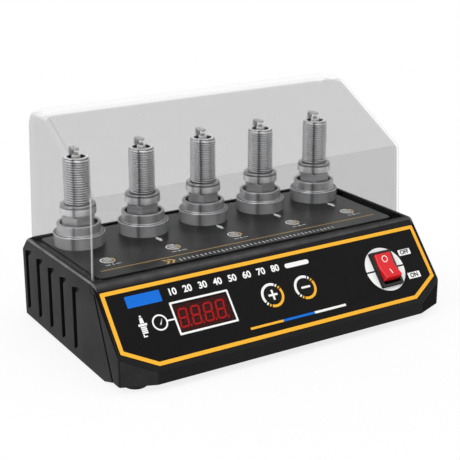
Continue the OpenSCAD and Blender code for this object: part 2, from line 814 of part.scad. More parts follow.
// Steel shell, thread up: crimp, hexagon, neck, shoulder, thread and the welded ground electrode
module plug_shell() {
    thread_r = thread_d / 2;
    root_r = thread_r - thread_depth;
    thread_z = gasket_z + gasket_t + 0.2;
    turns = floor((thread_top - 1 - thread_z) / thread_pitch);
    crest = 0.12;
    teeth = [for (k = [0:turns - 1], q = [[0, root_r], [0.5 - crest, thread_r], [0.5 + crest, thread_r]])
        [q[1], thread_z + (k + q[0]) * thread_pitch]];
    outline = concat(
        [[shell_bore_r, crimp_z], [crimp_r - 0.3, crimp_z], [crimp_r, crimp_z + 0.4], [crimp_r, hex_z + 1],
         [neck_r, hex_top - 1], [neck_r, shoulder_z], [shoulder_d / 2 - 0.4, shoulder_z],
         [shoulder_d / 2, shoulder_z + 0.4],
         [shoulder_d / 2, gasket_z - 0.5], [shoulder_d / 2 - 0.5, gasket_z], [root_r, gasket_z]],
        teeth,
        [[root_r, thread_z + turns * thread_pitch], [root_r, thread_top - 0.3], [root_r - 0.3, thread_top],
         [mouth_r, thread_top], [mouth_r, seat_z + 1.5], [shell_bore_r, seat_z]]);
    weld_z = thread_top - 0.5;
    arm_z = strap_top - strap_t;
    leg_in = strap_leg_r - strap_t;
    tip = -1.4;
    strap = [[strap_leg_r, weld_z, 0], [strap_leg_r, strap_top, 1.9], [tip, strap_top, 0.3],
        [tip, arm_z, 0.3], [leg_in, arm_z, 0.6], [leg_in, weld_z, 0]];
    chamfer_r = hex_af / 2 + 0.2;
    chamfer_h = 4.4;
    color(plated) {
        rotate_extrude() polygon(outline);
        difference() {
            intersection() {
                rod_hex(hex_af, hex_z, hex_top);
                rotate_extrude() polygon([[0, hex_z], [chamfer_r, hex_z], [hex_af, hex_z + chamfer_h],
                    [hex_af, hex_top - chamfer_h], [chamfer_r, hex_top], [0, hex_top]]);
            }
            rod(shell_bore_r, 0, thread_top);
        }
        across(strap_w) polygon(round_poly(strap));
    }
}

// Hexagonal bar by its distance across flats
module rod_hex(af, z0, z1) {
    translate([0, 0, z0]) cylinder(r = af / 2 / cos(30), h = z1 - z0, $fn = 6);
}

// Crush washer that lies on the shell's shoulder
module plug_gasket() {
    r = shoulder_d / 2 - 0.25;
    bore_r = thread_d / 2 + 0.1;
    top = gasket_z + gasket_t;
    color([0.80, 0.80, 0.81]) rotate_extrude()
        polygon(round_poly([[bore_r, gasket_z, 0], [r, gasket_z, 0.5], [r, top, 0.5], [bore_r, top, 0]]));
}

// Ribbed ceramic body, with the nose that shows in the thread's open end
module plug_insulator() {
    body_r = shell_bore_r - 0.1;
    groove_r = body_r - 0.3;
    rib_r = body_r + 0.5;
    rib_pitch = 4;
    bore_r = rod_r + 0.05;
    nose_r = 2.3;
    ribs = [for (k = [0:3], q = [[0, groove_r], [1, groove_r], [1.6, rib_r], [2.4, rib_r]])
        [q[1], ceramic_z + 1 + k * rib_pitch + q[0]]];
    color([0.93, 0.92, 0.90]) rotate_extrude() polygon(concat(
        [[bore_r, ceramic_z], [groove_r, ceramic_z]], ribs,
        [[body_r, ceramic_z + 18], [body_r, seat_z - 0.5], [3.6, seat_z + 2], [nose_r, nose_z - 0.3],
         [nose_r - 0.3, nose_z], [bore_r, nose_z]]));
}

// Centre electrode and conductor in one, with the terminal nut below
module plug_core() {
    nut_r = 3.15;
    waist_r = 2.6;
    color([0.74, 0.73, 0.70]) rotate_extrude() polygon(round_poly([[0, terminal_z, 0],
        [nut_r, terminal_z, 0.6], [nut_r, terminal_z + 2.4, 0.4], [waist_r, terminal_z + 3.6, 0.4],
        [nut_r, terminal_z + 4.8, 0.4], [nut_r, ceramic_z, 0], [rod_r, ceramic_z, 0],
        [rod_r, electrode_z, 0.2], [0, electrode_z, 0]]));
}

housing();
front_fascia();
base_plate();
rubber_feet();
base_screws();
deck_plate();
deck_screws();
cover();
front_overlay();
display_window();
display_module();
control_board();
key_switches();
plus_key();
minus_key();
switch_frame();
rocker();
switch_terminals();
indicator_lenses();
indicator_leds();
indicator_board();
main_board();
board_screws();
ignition_coils();
ribbon_cable();
contact_cups();
ground_bus();
dc_jack();
jack_nut();
for (i = [1:socket_count]) {
    at_socket(i) socket_insulator();
    at_socket(i) ground_collar();
    at_socket(i) plug_shell();
    at_socket(i) plug_gasket();
    at_socket(i) plug_insulator();
    at_socket(i) plug_core();
}
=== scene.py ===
import json
import math

import bmesh
import bpy
from mathutils import Matrix, Vector


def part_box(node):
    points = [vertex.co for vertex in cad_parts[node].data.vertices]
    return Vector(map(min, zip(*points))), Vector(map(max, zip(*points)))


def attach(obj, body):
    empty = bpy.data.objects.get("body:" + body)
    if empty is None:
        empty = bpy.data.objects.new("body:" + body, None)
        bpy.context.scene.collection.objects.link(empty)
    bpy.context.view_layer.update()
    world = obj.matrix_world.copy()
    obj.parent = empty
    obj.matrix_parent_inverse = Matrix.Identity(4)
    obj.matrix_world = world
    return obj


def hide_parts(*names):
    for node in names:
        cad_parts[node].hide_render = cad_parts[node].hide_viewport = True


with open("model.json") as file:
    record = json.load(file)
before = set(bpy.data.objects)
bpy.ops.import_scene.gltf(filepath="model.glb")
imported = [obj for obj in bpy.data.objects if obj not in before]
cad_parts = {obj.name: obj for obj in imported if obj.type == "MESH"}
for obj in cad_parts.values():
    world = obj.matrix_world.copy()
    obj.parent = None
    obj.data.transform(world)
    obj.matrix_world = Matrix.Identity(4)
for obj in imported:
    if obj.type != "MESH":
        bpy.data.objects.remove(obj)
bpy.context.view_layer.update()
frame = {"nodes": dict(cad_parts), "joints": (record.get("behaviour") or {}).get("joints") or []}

# Base plate, rubber feet and base screws
# The floor of the case is a flat plate of black ABS that closes the shell from below. Six plated
# pan-head screws hold it, and four round rubber feet are pressed into pockets near its corners.
MM = 0.001


def tone(red, green, blue):
    """Linear colour of a tone read as 0 to 255 on a screen."""
    def straight(byte):
        share = byte / 255
        return share / 12.92 if share <= 0.04045 else ((share + 0.055) / 1.055) ** 2.4
    return (straight(red), straight(green), straight(blue), 1.0)


def grey(level):
    """Neutral colour of a linear level."""
    return (level, level, level, 1.0)


def dimmed(colour, share):
    """Colour with a share of its light."""
    return tuple(share * part for part in colour[:3]) + (1.0,)


def add(tree, kind, inputs=None, **settings):
    """Add a node. An input takes a value, or the output that feeds it."""
    made = tree.nodes.new(kind)
    for name, value in settings.items():
        setattr(made, name, value)
    for name, value in (inputs or {}).items():
        if isinstance(value, bpy.types.NodeSocket):
            tree.links.new(value, made.inputs[name])
        else:
            made.inputs[name].default_value = value
    return made


def math_step(tree, operation, first, second=0.0):
    """Result of one step of arithmetic."""
    return add(tree, "ShaderNodeMath", {0: first, 1: second}, operation=operation).outputs[0]


def vector_step(tree, operation, first, second=(0.0, 0.0, 0.0)):
    """Result of one step with vectors, which is a number for a dot product or a length."""
    made = add(tree, "ShaderNodeVectorMath", {0: first, 1: second}, operation=operation)
    return made.outputs["Value" if operation in ("DOT_PRODUCT", "LENGTH") else "Vector"]


def mixed(tree, share, first, second):
    """Colour that goes from first to second with share. Sockets 6, 7 and 2 are the node's colours."""
    return add(tree, "ShaderNodeMix", {"Factor": share, 6: first, 7: second}, data_type="RGBA").outputs[2]


def ranged(tree, value, low, high, start=0.0, end=1.0):
    """Value moved from the range start to end into the range low to high."""
    fields = {"Value": value, "From Min": start, "From Max": end, "To Min": low, "To Max": high}
    return add(tree, "ShaderNodeMapRange", fields).outputs["Result"]


def noise(tree, place, scale, detail, roughness=0.5):
    """Noise over a place, from 0 to 1."""
    fields = {"Vector": place, "Scale": scale, "Detail": detail, "Roughness": roughness}
    return add(tree, "ShaderNodeTexNoise", fields).outputs[0]


def marked(tree, mark):
    """How strong a mark of the mesh is, from 0 to 1."""
    return add(tree, "ShaderNodeAttribute", attribute_name=mark).outputs["Fac"]


def new_group(name, inputs, outputs, kind="Shader"):
    """Node group with named sockets of given kinds, what it is given and where it puts its results."""
    group = bpy.data.node_groups.new(name, kind + "NodeTree")
    for way, titles in (("INPUT", inputs), ("OUTPUT", outputs)):
        for title, sort in titles.items():
            group.interface.new_socket(name=title, in_out=way, socket_type="NodeSocket" + sort)
    return group, group.nodes.new("NodeGroupInput").outputs, group.nodes.new("NodeGroupOutput").inputs


def put_group(tree, group, **inputs):
    """Place a shader node group in a tree, and give its outputs."""
    return add(tree, "ShaderNodeGroup", inputs, node_tree=group).outputs


def new_finish(name, **shader_values):
    """Material with its tree, its Principled shader and the piece's own coordinates."""
    made = bpy.data.materials.new(name)
    made.use_nodes = True
    tree = made.node_tree
    shader = tree.nodes["Principled BSDF"]
    for title, value in shader_values.items():
        shader.inputs[title.replace("_", " ")].default_value = value
    return made, tree, shader, add(tree, "ShaderNodeTexCoord").outputs["Object"]


def feed(tree, shader, **sources):
    """Link what changes over the surface to the shader's sockets."""
    for title, source in sources.items():
        tree.links.new(source, shader.inputs[title.replace("_", " ")])


def bumped(tree, shader, height, distance):
    """Let a height stand out of the surface by a distance in metres."""
    raised = add(tree, "ShaderNodeBump", {"Height": height, "Distance": distance, "Strength": 1.0})
    feed(tree, shader, Normal=raised.outputs["Normal"])


# Spark-eroded mould texture: fine pits, and slow clouds where the plastic flowed
moulded_grain, given, put = new_group(
    "moulded_grain", {"Place": "Vector", "Pits": "Float", "Clouds": "Float"},
    {"Height": "Float", "Cloud": "Float"})
pits = noise(moulded_grain, given["Place"], scale=given["Pits"], detail=2.0, roughness=0.65)
clouds = noise(moulded_grain, given["Place"], scale=given["Clouds"], detail=3.0, roughness=0.55)
moulded_grain.links.new(pits, put["Height"])
moulded_grain.links.new(clouds, put["Cloud"])

# Painted edge highlights: rounded edges marked in the mesh are painted paler, broken up by noise
painted_edge_highlights, given, put = new_group(
    "painted_edge_highlights", {"Place": "Vector", "Edge": "Float"}, {"Highlight": "Float"})
patchy = noise(painted_edge_highlights, given["Place"], scale=130.0, detail=4.0)
broken_up = ranged(painted_edge_highlights, patchy, 0.6, 1.0, 0.35, 0.65)
painted_edge_highlights.links.new(math_step(painted_edge_highlights, "MULTIPLY", broken_up, given["Edge"]), put["Highlight"])


def moulded(name, colour, rough, pits=2600.0, depth=0.00003, edge_highlight=0.35, level=0.25):
    """Moulded plastic or rubber: mould grain, cloudy tone and gloss, painted edge highlights, marked places
    painted dark and matt.
    """
    made, tree, shader, place = new_finish(name, Specular_IOR_Level=level)
    clouds, gloss_swing, highlight_step = 45.0, 0.06, 0.05
    skin = put_group(tree, moulded_grain, Place=place, Pits=pits, Clouds=clouds)
    edge = put_group(tree, painted_edge_highlights, Place=place, Edge=marked(tree, "edge"))
    recess = marked(tree, "recess")
    pale = tuple(part + edge_highlight * highlight_step for part in colour[:3]) + (1.0,)
    clouded = mixed(tree, skin["Cloud"], dimmed(colour, 0.82), colour)
    highlighted = mixed(tree, edge["Highlight"], clouded, pale)
    gloss = ranged(tree, skin["Cloud"], rough - gloss_swing, rough + gloss_swing, 0.3, 0.7)
    feed(tree, shader, Base_Color=mixed(tree, recess, highlighted, grey(0.005)),
         Roughness=ranged(tree, recess, gloss, 1.0))
    bumped(tree, shader, skin["Height"], depth)
    return made


# Turned metal: fine rings left by the tool, and a thin uneven film of handling
turned_rings, given, put = new_group(
    "turned_rings", {"Place": "Vector", "Fineness": "Float"}, {"Ring": "Float", "Film": "Float"})
along_axis = vector_step(turned_rings, "MULTIPLY", given["Place"], (0.02, 0.02, 1.0))
turned_rings.links.new(noise(turned_rings, along_axis, scale=given["Fineness"], detail=3.0), put["Ring"])
turned_rings.links.new(noise(turned_rings, given["Place"], scale=120.0, detail=3.0), put["Film"])

# Painted reflection: soft light and dark bands along the axis, set by the way a face turns, that fade out on
# faces that look up or down
painted_reflection_bands, given, put = new_group("painted_reflection_bands", {"Facing": "Vector"}, {"Band": "Float"})
band_way = (0.845, -0.534, 0.0)
band_stops = [(0.0, 0.5), (0.1, 1.0), (0.3, 0.95), (0.38, 0.8), (0.44, 0.12), (0.52, 0.75), (0.62, 1.0),
              (0.73, 0.95), (0.81, 0.7), (0.9, 0.85), (1.0, 0.7)]
level_part = vector_step(painted_reflection_bands, "MULTIPLY", given["Facing"], (1.0, 1.0, 0.0))
outward = vector_step(painted_reflection_bands, "NORMALIZE", level_part)
across = vector_step(painted_reflection_bands, "DOT_PRODUCT", outward, band_way)
bands = add(painted_reflection_bands, "ShaderNodeValToRGB", {"Fac": ranged(painted_reflection_bands, across, 0.0, 1.0, -1.0, 1.0)})
bands.color_ramp.interpolation = "EASE"
for spot, level in band_stops[1:-1]:
    bands.color_ramp.elements.new(spot).color = grey(level)
for end in (0, -1):
    bands.color_ramp.elements[end].color = grey(band_stops[end][1])
tilt = add(painted_reflection_bands, "ShaderNodeSeparateXYZ", {0: given["Facing"]}).outputs["Z"]
flat_share = ranged(painted_reflection_bands, math_step(painted_reflection_bands, "ABSOLUTE", tilt), 0.0, 1.0, 0.88, 0.98)
eased = add(painted_reflection_bands, "ShaderNodeMix", {"Factor": flat_share, 2: bands.outputs["Color"], 3: 1.0},
            data_type="FLOAT")
painted_reflection_bands.links.new(eased.outputs[0], put["Band"])


def turned(name, bright, dull, rough, fineness=9000.0, depth=0.000004, reflection_bands=0.0, metal=1.0):
    """Plated or bare metal that was turned: tool rings, duller patches of film, painted reflection bands
    along the axis, painted highlights on marked edges and painted shade in marked places.
    """
    made, tree, shader, place = new_finish(name, Metallic=metal)
    shadow, glint = grey(0.02), grey(0.98)
    lathe_marks = put_group(tree, turned_rings, Place=place, Fineness=fineness)
    film_share = ranged(tree, lathe_marks["Film"], 0.0, 1.0, 0.4, 0.75)
    facing = add(tree, "ShaderNodeTexCoord").outputs["Normal"]
    dark_share = ranged(tree, put_group(tree, painted_reflection_bands, Facing=facing)["Band"], reflection_bands, 0.0)
    skin = mixed(tree, dark_share, mixed(tree, film_share, bright, dull), shadow)
    glinted = mixed(tree, marked(tree, "edge"), skin, glint)
    feed(tree, shader, Base_Color=mixed(tree, marked(tree, "recess"), glinted, shadow),
         Roughness=ranged(tree, lathe_marks["Film"], rough - 0.04, rough + 0.05, 0.3, 0.7))
    bumped(tree, shader, lathe_marks["Ring"], depth)
    return made


def corner_of(corners, k):
    """One corner of an outline, the ways back and ahead from it, and half of the angle between them."""
    corner = Vector(corners[k][:2])
    back = (Vector(corners[k - 1][:2]) - corner).normalized()
    ahead = (Vector(corners[(k + 1) % len(corners)][:2]) - corner).normalized()
    return corner, back, ahead, back.angle(ahead) / 2


def rounded(corners, steps=6):
    """Outline through corners (a, b, radius), with each radius drawn as an arc."""
    points = []
    for k, (a, b, radius) in enumerate(corners):
        if radius == 0:
            points.append(Vector((a, b)))
            continue
        corner, back, ahead, half = corner_of(corners, k)
        middle = corner + (back + ahead).normalized() * (radius / math.sin(half))
        first = corner + back * (radius / math.tan(half)) - middle
        last = corner + ahead * (radius / math.tan(half)) - middle
        begin = math.atan2(first.y, first.x)
        sweep = (math.atan2(last.y, last.x) - begin + 3 * math.pi) % (2 * math.pi) - math.pi
        for step in range(steps + 1):
            angle = begin + sweep * step / steps
            points.append(middle + radius * Vector((math.cos(angle), math.sin(angle))))
    return points


def lathe(outline, segments=64):
    """Mesh of a closed outline of (radius, height) points turned about the upright axis.

    A radius may be a function of the angle and the height, where the form isn't round.
    """
    bm = bmesh.new()
    rings = []
    for radius, height in outline:
        count = segments if callable(radius) or radius > 1e-6 else 1
        ring = []
        for k in range(count):
            angle = 2 * math.pi * k / count
            reach = radius(angle, height) if callable(radius) else radius
            ring.append(bm.verts.new((reach * math.cos(angle), reach * math.sin(angle), height)))
        rings.append(ring)
    for low, high in zip(rings, rings[1:] + rings[:1]):
        if len(low) == 1 and len(high) == 1:
            continue
        for k in range(segments):
            corners = [low[k % len(low)], low[(k + 1) % len(low)]]
            corners += [high[(k + 1) % len(high)], high[k % len(high)]]
            bm.faces.new(list(dict.fromkeys(corners)))
    bmesh.ops.recalc_face_normals(bm, faces=bm.faces)
    return bm


def end_tree(tree, geometry, finish, way_out):
    """End a geometry tree: real meshes that wear a finish."""
    real = add(tree, "GeometryNodeRealizeInstances", {"Geometry": geometry})
    dressed = add(tree, "GeometryNodeSetMaterial", {"Geometry": real.outputs[0], "Material": finish})
    tree.links.new(dressed.outputs[0], way_out)


# Copies of one shape set out at points
set_out_tree, given, put = new_group(
    "set_out", {"Places": "Geometry", "Shape": "Object", "Finish": "Material"}, {"Pieces": "Geometry"},
    "Geometry")
shape_in = add(set_out_tree, "GeometryNodeObjectInfo", {"Object": given["Shape"]})
copies = add(set_out_tree, "GeometryNodeInstanceOnPoints", {
    "Points": given["Places"], "Instance": shape_in.outputs["Geometry"]})
end_tree(set_out_tree, copies.outputs["Instances"], given["Finish"], put["Pieces"])


def placed(name, data):
    """Object in the scene that holds a mesh, some letters, a lamp or a camera."""
    made = bpy.data.objects.new(name, data)
    bpy.context.scene.collection.objects.link(made)
    return made


def mesh_object(name, bm):
    """Object in the scene that takes over a mesh."""
    mesh = bpy.data.meshes.new(name)
    bm.to_mesh(mesh)
    bm.free()
    return placed(name, mesh)


def plain_mesh(made):
    """Plain mesh of what an object's modifiers or letters make. The object is then removed."""
    mesh = bpy.data.meshes.new_from_object(made.evaluated_get(bpy.context.evaluated_depsgraph_get()))
    bpy.data.objects.remove(made)
    return mesh


def run_tree(host, tree, **inputs):
    """Mesh that a geometry tree makes on a host object."""
    modifier = host.modifiers.new(tree.name, "NODES")
    modifier.node_group = tree
    for socket in tree.interface.items_tree:
        if socket.in_out == "INPUT" and socket.name in inputs:
            modifier[socket.identifier] = inputs[socket.name]
    return plain_mesh(host)


def set_out(shape, places, finish):
    """Mesh of copies of a shape at places, in millimetres."""
    dots = bmesh.new()
    for place in places:
        dots.verts.new(place)
    pattern = mesh_object("pattern", shape)
    made = run_tree(mesh_object("places", dots), set_out_tree, Shape=pattern, Finish=finish)
    bpy.data.objects.remove(pattern)
    bm = bmesh.new()
    bm.from_mesh(made)
    bpy.data.meshes.remove(made)
    return bm


def as_piece(name, bm, finish, body, nodes=()):
    """Make a mesh drawn in millimetres a piece that rides a body and stands for its solids."""
    smooth_below = math.radians(35)
    bmesh.ops.scale(bm, vec=(MM, MM, MM), verts=bm.verts)
    piece = mesh_object(name, bm)
    drawn = piece.data
    drawn.materials.clear()
    drawn.materials.append(finish)
    drawn.shade_smooth()
    drawn.set_sharp_from_angle(angle=smooth_below)
    flat_faces = piece.modifiers.new("flat_faces", "WEIGHTED_NORMAL")
    flat_faces.keep_sharp = True
    flat_faces.weight = 100
    depsgraph = bpy.context.evaluated_depsgraph_get()
    piece.data = bpy.data.meshes.new_from_object(
        piece.evaluated_get(depsgraph), preserve_all_data_layers=True, depsgraph=depsgraph)
    piece.modifiers.clear()
    bpy.data.meshes.remove(drawn)
    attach(piece, body)
    if nodes:
        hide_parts(*nodes)


def dress(finish, *nodes):
    """Give its finish to each solid that stays as it is."""
    for name in nodes:
        for held in frame["nodes"][name].material_slots:
            held.material = finish


def box_mm(node):
    """A solid's lowest and highest corners in millimetres."""
    low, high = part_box(node)
    return Vector(low) / MM, Vector(high) / MM


# Marked edges of the shells take a strong painted highlight.
case_plastic = moulded("case_plastic", tone(23, 23, 24), rough=0.46, edge_highlight=3.2, level=0.1)
dress(case_plastic, "base_plate")

foot_rubber = moulded("foot_rubber", tone(22, 22, 22), rough=0.75, pits=1500.0, depth=0.00006, edge_highlight=0.0)
feet_low, feet_high = box_mm("rubber_feet")
foot_r = 6.5
foot_top = feet_high.z
hollow_r, hollow_top = 3.2, 0.35
foot_shape = lathe(rounded([
    (0, hollow_top, 0), (hollow_r, hollow_top, 0.3), (hollow_r + 0.4, 0, 0.3), (foot_r - 0.9, 0, 0.7),
    (foot_r, 2.2, 1.0), (foot_r, foot_top, 0), (0, foot_top, 0)], steps=4))
foot_places = [(x, y, 0) for x in (feet_low.x + foot_r, feet_high.x - foot_r)
               for y in (feet_low.y + foot_r, feet_high.y - foot_r)]
feet = set_out(foot_shape, foot_places, foot_rubber)
as_piece("feet", feet, foot_rubber, "case", ["rubber_feet"])

screw_steel = turned("screw_steel", tone(190, 190, 192), tone(150, 150, 150), rough=0.3)
dress(screw_steel, "base_screws", "deck_screws", "board_screws")

# Housing
# The rear and side shell is one ABS moulding. Each side wall has five blind slots that hook forward
# at the top, and the rim stands round the deck. The rim's top carries a painted highlight, and the
# slots carry painted shade.


def softened(node, width, segments=2):
    """Copy of a solid with its sharp outer edges rounded and marked for a painted highlight."""
    sharp_from = math.radians(28)
    bm = bmesh.new()
    bm.from_mesh(frame["nodes"][node].data)
    bmesh.ops.scale(bm, vec=(1 / MM, 1 / MM, 1 / MM), verts=bm.verts)
    bmesh.ops.remove_doubles(bm, verts=bm.verts, dist=0.01)
    sharp = [edge for edge in bm.edges if edge.is_convex and edge.calc_face_angle() > sharp_from]
    made = bmesh.ops.bevel(bm, geom=sharp, offset=width, segments=segments, profile=0.5, affect="EDGES",
                           clamp_overlap=False, loop_slide=False)
    mark = bm.loops.layers.float.new("edge")
    for face in made["faces"]:
        for loop in face.loops:
            loop[mark] = 1.0
    return bm


def cut_along(bm, point, normal):
    """Cut every face that crosses a plane."""
    bmesh.ops.bisect_plane(bm, geom=bm.verts[:] + bm.edges[:] + bm.faces[:], plane_co=point, plane_no=normal)


def shell_marks(bm, depth):
    """Mark painted light: a highlight on the rim's top, the front bar's crest and the front corners, and
    shade in the wall recesses, on the right front chamfer and below the bar's crest.
    """
    highlight_mark = bm.loops.layers.float["edge"]
    recess_mark = bm.loops.layers.float.new("recess")
    rim_z, hook_z = 44.0, 38.0
    wall_x = max(vert.co.x for vert in bm.verts)
    wall_skin = 0.12
    rim_glint_x = wall_x - 1.4
    bar_rear, bar_crest, bar_fall = -20.0, -27.4, 2.4
    wall_front, chamfer_rear = -48.0, -45.0
    crest_shine, corner_shine, bar_shade = 0.45, 0.1, 0.7
    for side in (-1, 1):
        cut_along(bm, (side * rim_glint_x, 0, 0), (1, 0, 0))
    for face in bm.faces:
        x, y, z = face.calc_center_median()
        normal = face.normal
        in_wall = wall_x - depth < abs(x) < wall_x - wall_skin and z < rim_z and y > wall_front
        hook_floor = abs(normal.x) > 0.9 and z > hook_z
        shaded_chamfer = y < chamfer_rear and normal.x > 0.3 and normal.y < -0.3
        dark = in_wall and not hook_floor or shaded_chamfer
        highlighted = z > rim_z and abs(x) > rim_glint_x and normal.z > 0.5
        corner = normal.y < -0.8 and 0.2 < abs(normal.x) < 0.6 and abs(normal.z) < 0.2
        front_bar = z > rim_z and y < bar_rear and normal.z > 0.5
        # Painted highlight on the rim's top, the bar's crest and the front corners; painted shade in the wall
        # recesses, on the right front chamfer and below the bar's crest.
        even_edge = 1.0 if highlighted else corner_shine if corner else 0.0
        for loop in face.loops:
            at_y = loop.vert.co.y
            shine = max(1 - abs(at_y - bar_crest) / bar_fall, 0) if front_bar else 0.0
            below_crest = front_bar and at_y < bar_crest
            loop[highlight_mark] = crest_shine * shine if front_bar and not highlighted else even_edge
            loop[recess_mark] = 1.0 if dark else bar_shade * (1 - shine) if below_crest else 0.0
    return bm


def sunk_walls(bm):
    """Let the slots and lower edges of the side walls sink towards the front, and the rim at the rear."""
    rear_y, front_y = 57.0, -36.0
    rear_fall, front_fall, rim_fall = 0.4, 2.6, 1.5
    foot_x, foot_z = 94.0, 3.6
    slot_x, slot_y, slot_low, slot_high = 95.5, -13.0, 6.0, 43.0
    rim_y, rim_z = 52.3, 44.5
    corner_x, corner_run = 96.5, 5.5
    cut_along(bm, (0, front_y, 0), (0, 1, 0))
    for vert in bm.verts:
        x, y, z = abs(vert.co.x), vert.co.y, vert.co.z
        at_foot = x > foot_x and z < foot_z and y > front_y - 0.1
        in_slot = x > slot_x and slot_low < z < slot_high and y > slot_y
        if at_foot or in_slot:
            vert.co.z -= rear_fall + (front_fall - rear_fall) * (rear_y - y) / (rear_y - front_y)
        elif y > rim_y and z > rim_z:
            vert.co.z -= rim_fall * min(max((corner_x - x) / corner_run, 0), 1)
    return bm


shell_edge = 0.35
slot_depth = 1.8
housing_shell = sunk_walls(shell_marks(softened("housing", shell_edge), slot_depth))
as_piece("housing_shell", housing_shell, case_plastic, "case", ["housing"])

# Front fascia
# The front shell is a second ABS moulding with the sloped panel, the chamfered corners and the skirt.
# It meets the housing at a leaning seam and is screwed to the base plate from below.
seam_depth = 1.0
# Its seam recess, right front chamfer and the bar below its crest carry painted shade, and the bar's crest a
# painted highlight.
fascia_shell = shell_marks(softened("front_fascia", shell_edge), seam_depth)
as_piece("fascia_shell", fascia_shell, case_plastic, "case", ["front_fascia"])

# Deck
# The deck is a black moulding with a polished top that drops into the rim and is screwed from below.
# A groove round its raised middle takes the cover's lower edge.
# Its rounded edges take a faint painted highlight.
deck_plastic = moulded("deck_plastic", tone(20, 20, 21), rough=0.34, pits=300.0, depth=0.000001, edge_highlight=0.2,
                       level=0.45)
deck_moulding = softened("deck_plate", width=0.3)
as_piece("deck_moulding", deck_moulding, deck_plastic, "case", ["deck_plate"])

# Boards, coils and leads inside the case
# A green glass-fibre board on the base plate carries one potted ignition coil for each socket, and a
# second board behind the panel carries the display and the key switches. A flat cable joins them.
board_mask, tree, shader, place = new_finish("board_mask", Specular_IOR_Level=0.5)
lanes = add(tree, "ShaderNodeTexBrick", {
    "Vector": place, "Scale": 160.0, "Mortar Size": 0.035, "Mortar Smooth": 0.2, "Color1": tone(18, 84, 52),
    "Color2": tone(22, 92, 58), "Mortar": tone(40, 122, 82)}, offset=0.37, squash=1.6).outputs
feed(tree, shader, Base_Color=lanes["Color"], Roughness=ranged(tree, lanes["Fac"], 0.28, 0.42))
bumped(tree, shader, lanes["Fac"], distance=0.00003)
dress(board_mask, "main_board", "control_board", "indicator_board")

potting = moulded("potting", tone(30, 29, 29), rough=0.4, pits=700.0, depth=0.00005, edge_highlight=0.1)
dress(potting, "ignition_coils", "key_switches")

cable_jacket, tree, shader, place = new_finish("cable_jacket", Roughness=0.45)
wires = add(tree, "ShaderNodeTexWave", {"Vector": place, "Scale": 125.0, "Distortion": 0.0},
            wave_type="BANDS", bands_direction="X").outputs["Fac"]
feed(tree, shader, Base_Color=mixed(tree, wires, tone(118, 120, 124), tone(160, 162, 166)))
bumped(tree, shader, wires, distance=0.0003)
dress(cable_jacket, "ribbon_cable")

contact_brass = turned("contact_brass", tone(212, 178, 104), tone(170, 132, 70), rough=0.32)
dress(contact_brass, "contact_cups", "ground_bus", "switch_terminals")

# Panel film
# A matt black printed film is stuck into a shallow recess of the fascia. A yellow border follows its
# edge, and the marks round the display, the keys and the switch are screen-printed in thick ink.
press = next(joint for joint in frame["joints"] if joint["name"] == "plus_key_press")["axis"]
panel_angle = math.atan2(press[1], -press[2])
film_high = box_mm("front_overlay")[1]
film_t = 0.4
on_panel = (Matrix.Translation((0, film_high.y - film_t * math.sin(panel_angle), film_high.z))
            @ Matrix.Rotation(panel_angle, 4, "X"))
INK = 0.05


def printed_film(name, colour, rough=0.42):
    """Screen-printed layer: a fine matt tooth, and ink that is a little uneven."""
    made, tree, shader, place = new_finish(name, Specular_IOR_Level=0.08)
    gloss_swing = 0.07
    skin = put_group(tree, moulded_grain, Place=place, Pits=7000.0, Clouds=320.0)
    feed(tree, shader, Base_Color=mixed(tree, skin["Cloud"], dimmed(colour, 0.93), colour),
         Roughness=ranged(tree, skin["Cloud"], rough - gloss_swing, rough + gloss_swing, 0.3, 0.7))
    bumped(tree, shader, skin["Height"], distance=0.00001)
    return made


def bar(x0, y0, x1, y1, radius=0):
    """Outline of a bar between two corners."""
    return rounded([(x0, y0, radius), (x1, y0, radius), (x1, y1, radius), (x0, y1, radius)], steps=4)


def band(x, y, outer, inner, start, end, steps=28):
    """Outline of a curved band from one angle to another, in degrees."""
    turns = [math.radians(start + (end - start) * k / steps) for k in range(steps + 1)]
    return ([(x + outer * math.cos(a), y + outer * math.sin(a)) for a in turns]
            + [(x + inner * math.cos(a), y + inner * math.sin(a)) for a in reversed(turns)])


def disc(x, y, radius, steps=40):
    """Outline of a disc."""
    turns = [2 * math.pi * k / steps for k in range(steps)]
    return [(x + radius * math.cos(a), y + radius * math.sin(a)) for a in turns]


def moved_in(corners, depth):
    """Corners of a convex outline moved in by a depth, with their radii shrunk to match."""
    least_radius = 0.4
    inner = []
    for k, (_, _, radius) in enumerate(corners):
        corner, back, ahead, half = corner_of(corners, k)
        place = corner + (back + ahead).normalized() * (depth / math.sin(half))
        inner.append((place.x, place.y, max(radius - depth, least_radius)))
    return inner


def pulled_out(bm, faces, way):
    """Pull faces along a way, with walls round them."""
    pulled = bmesh.ops.extrude_face_region(bm, geom=faces)["geom"]
    bmesh.ops.translate(bm, verts=[part for part in pulled if isinstance(part, bmesh.types.BMVert)], vec=way)


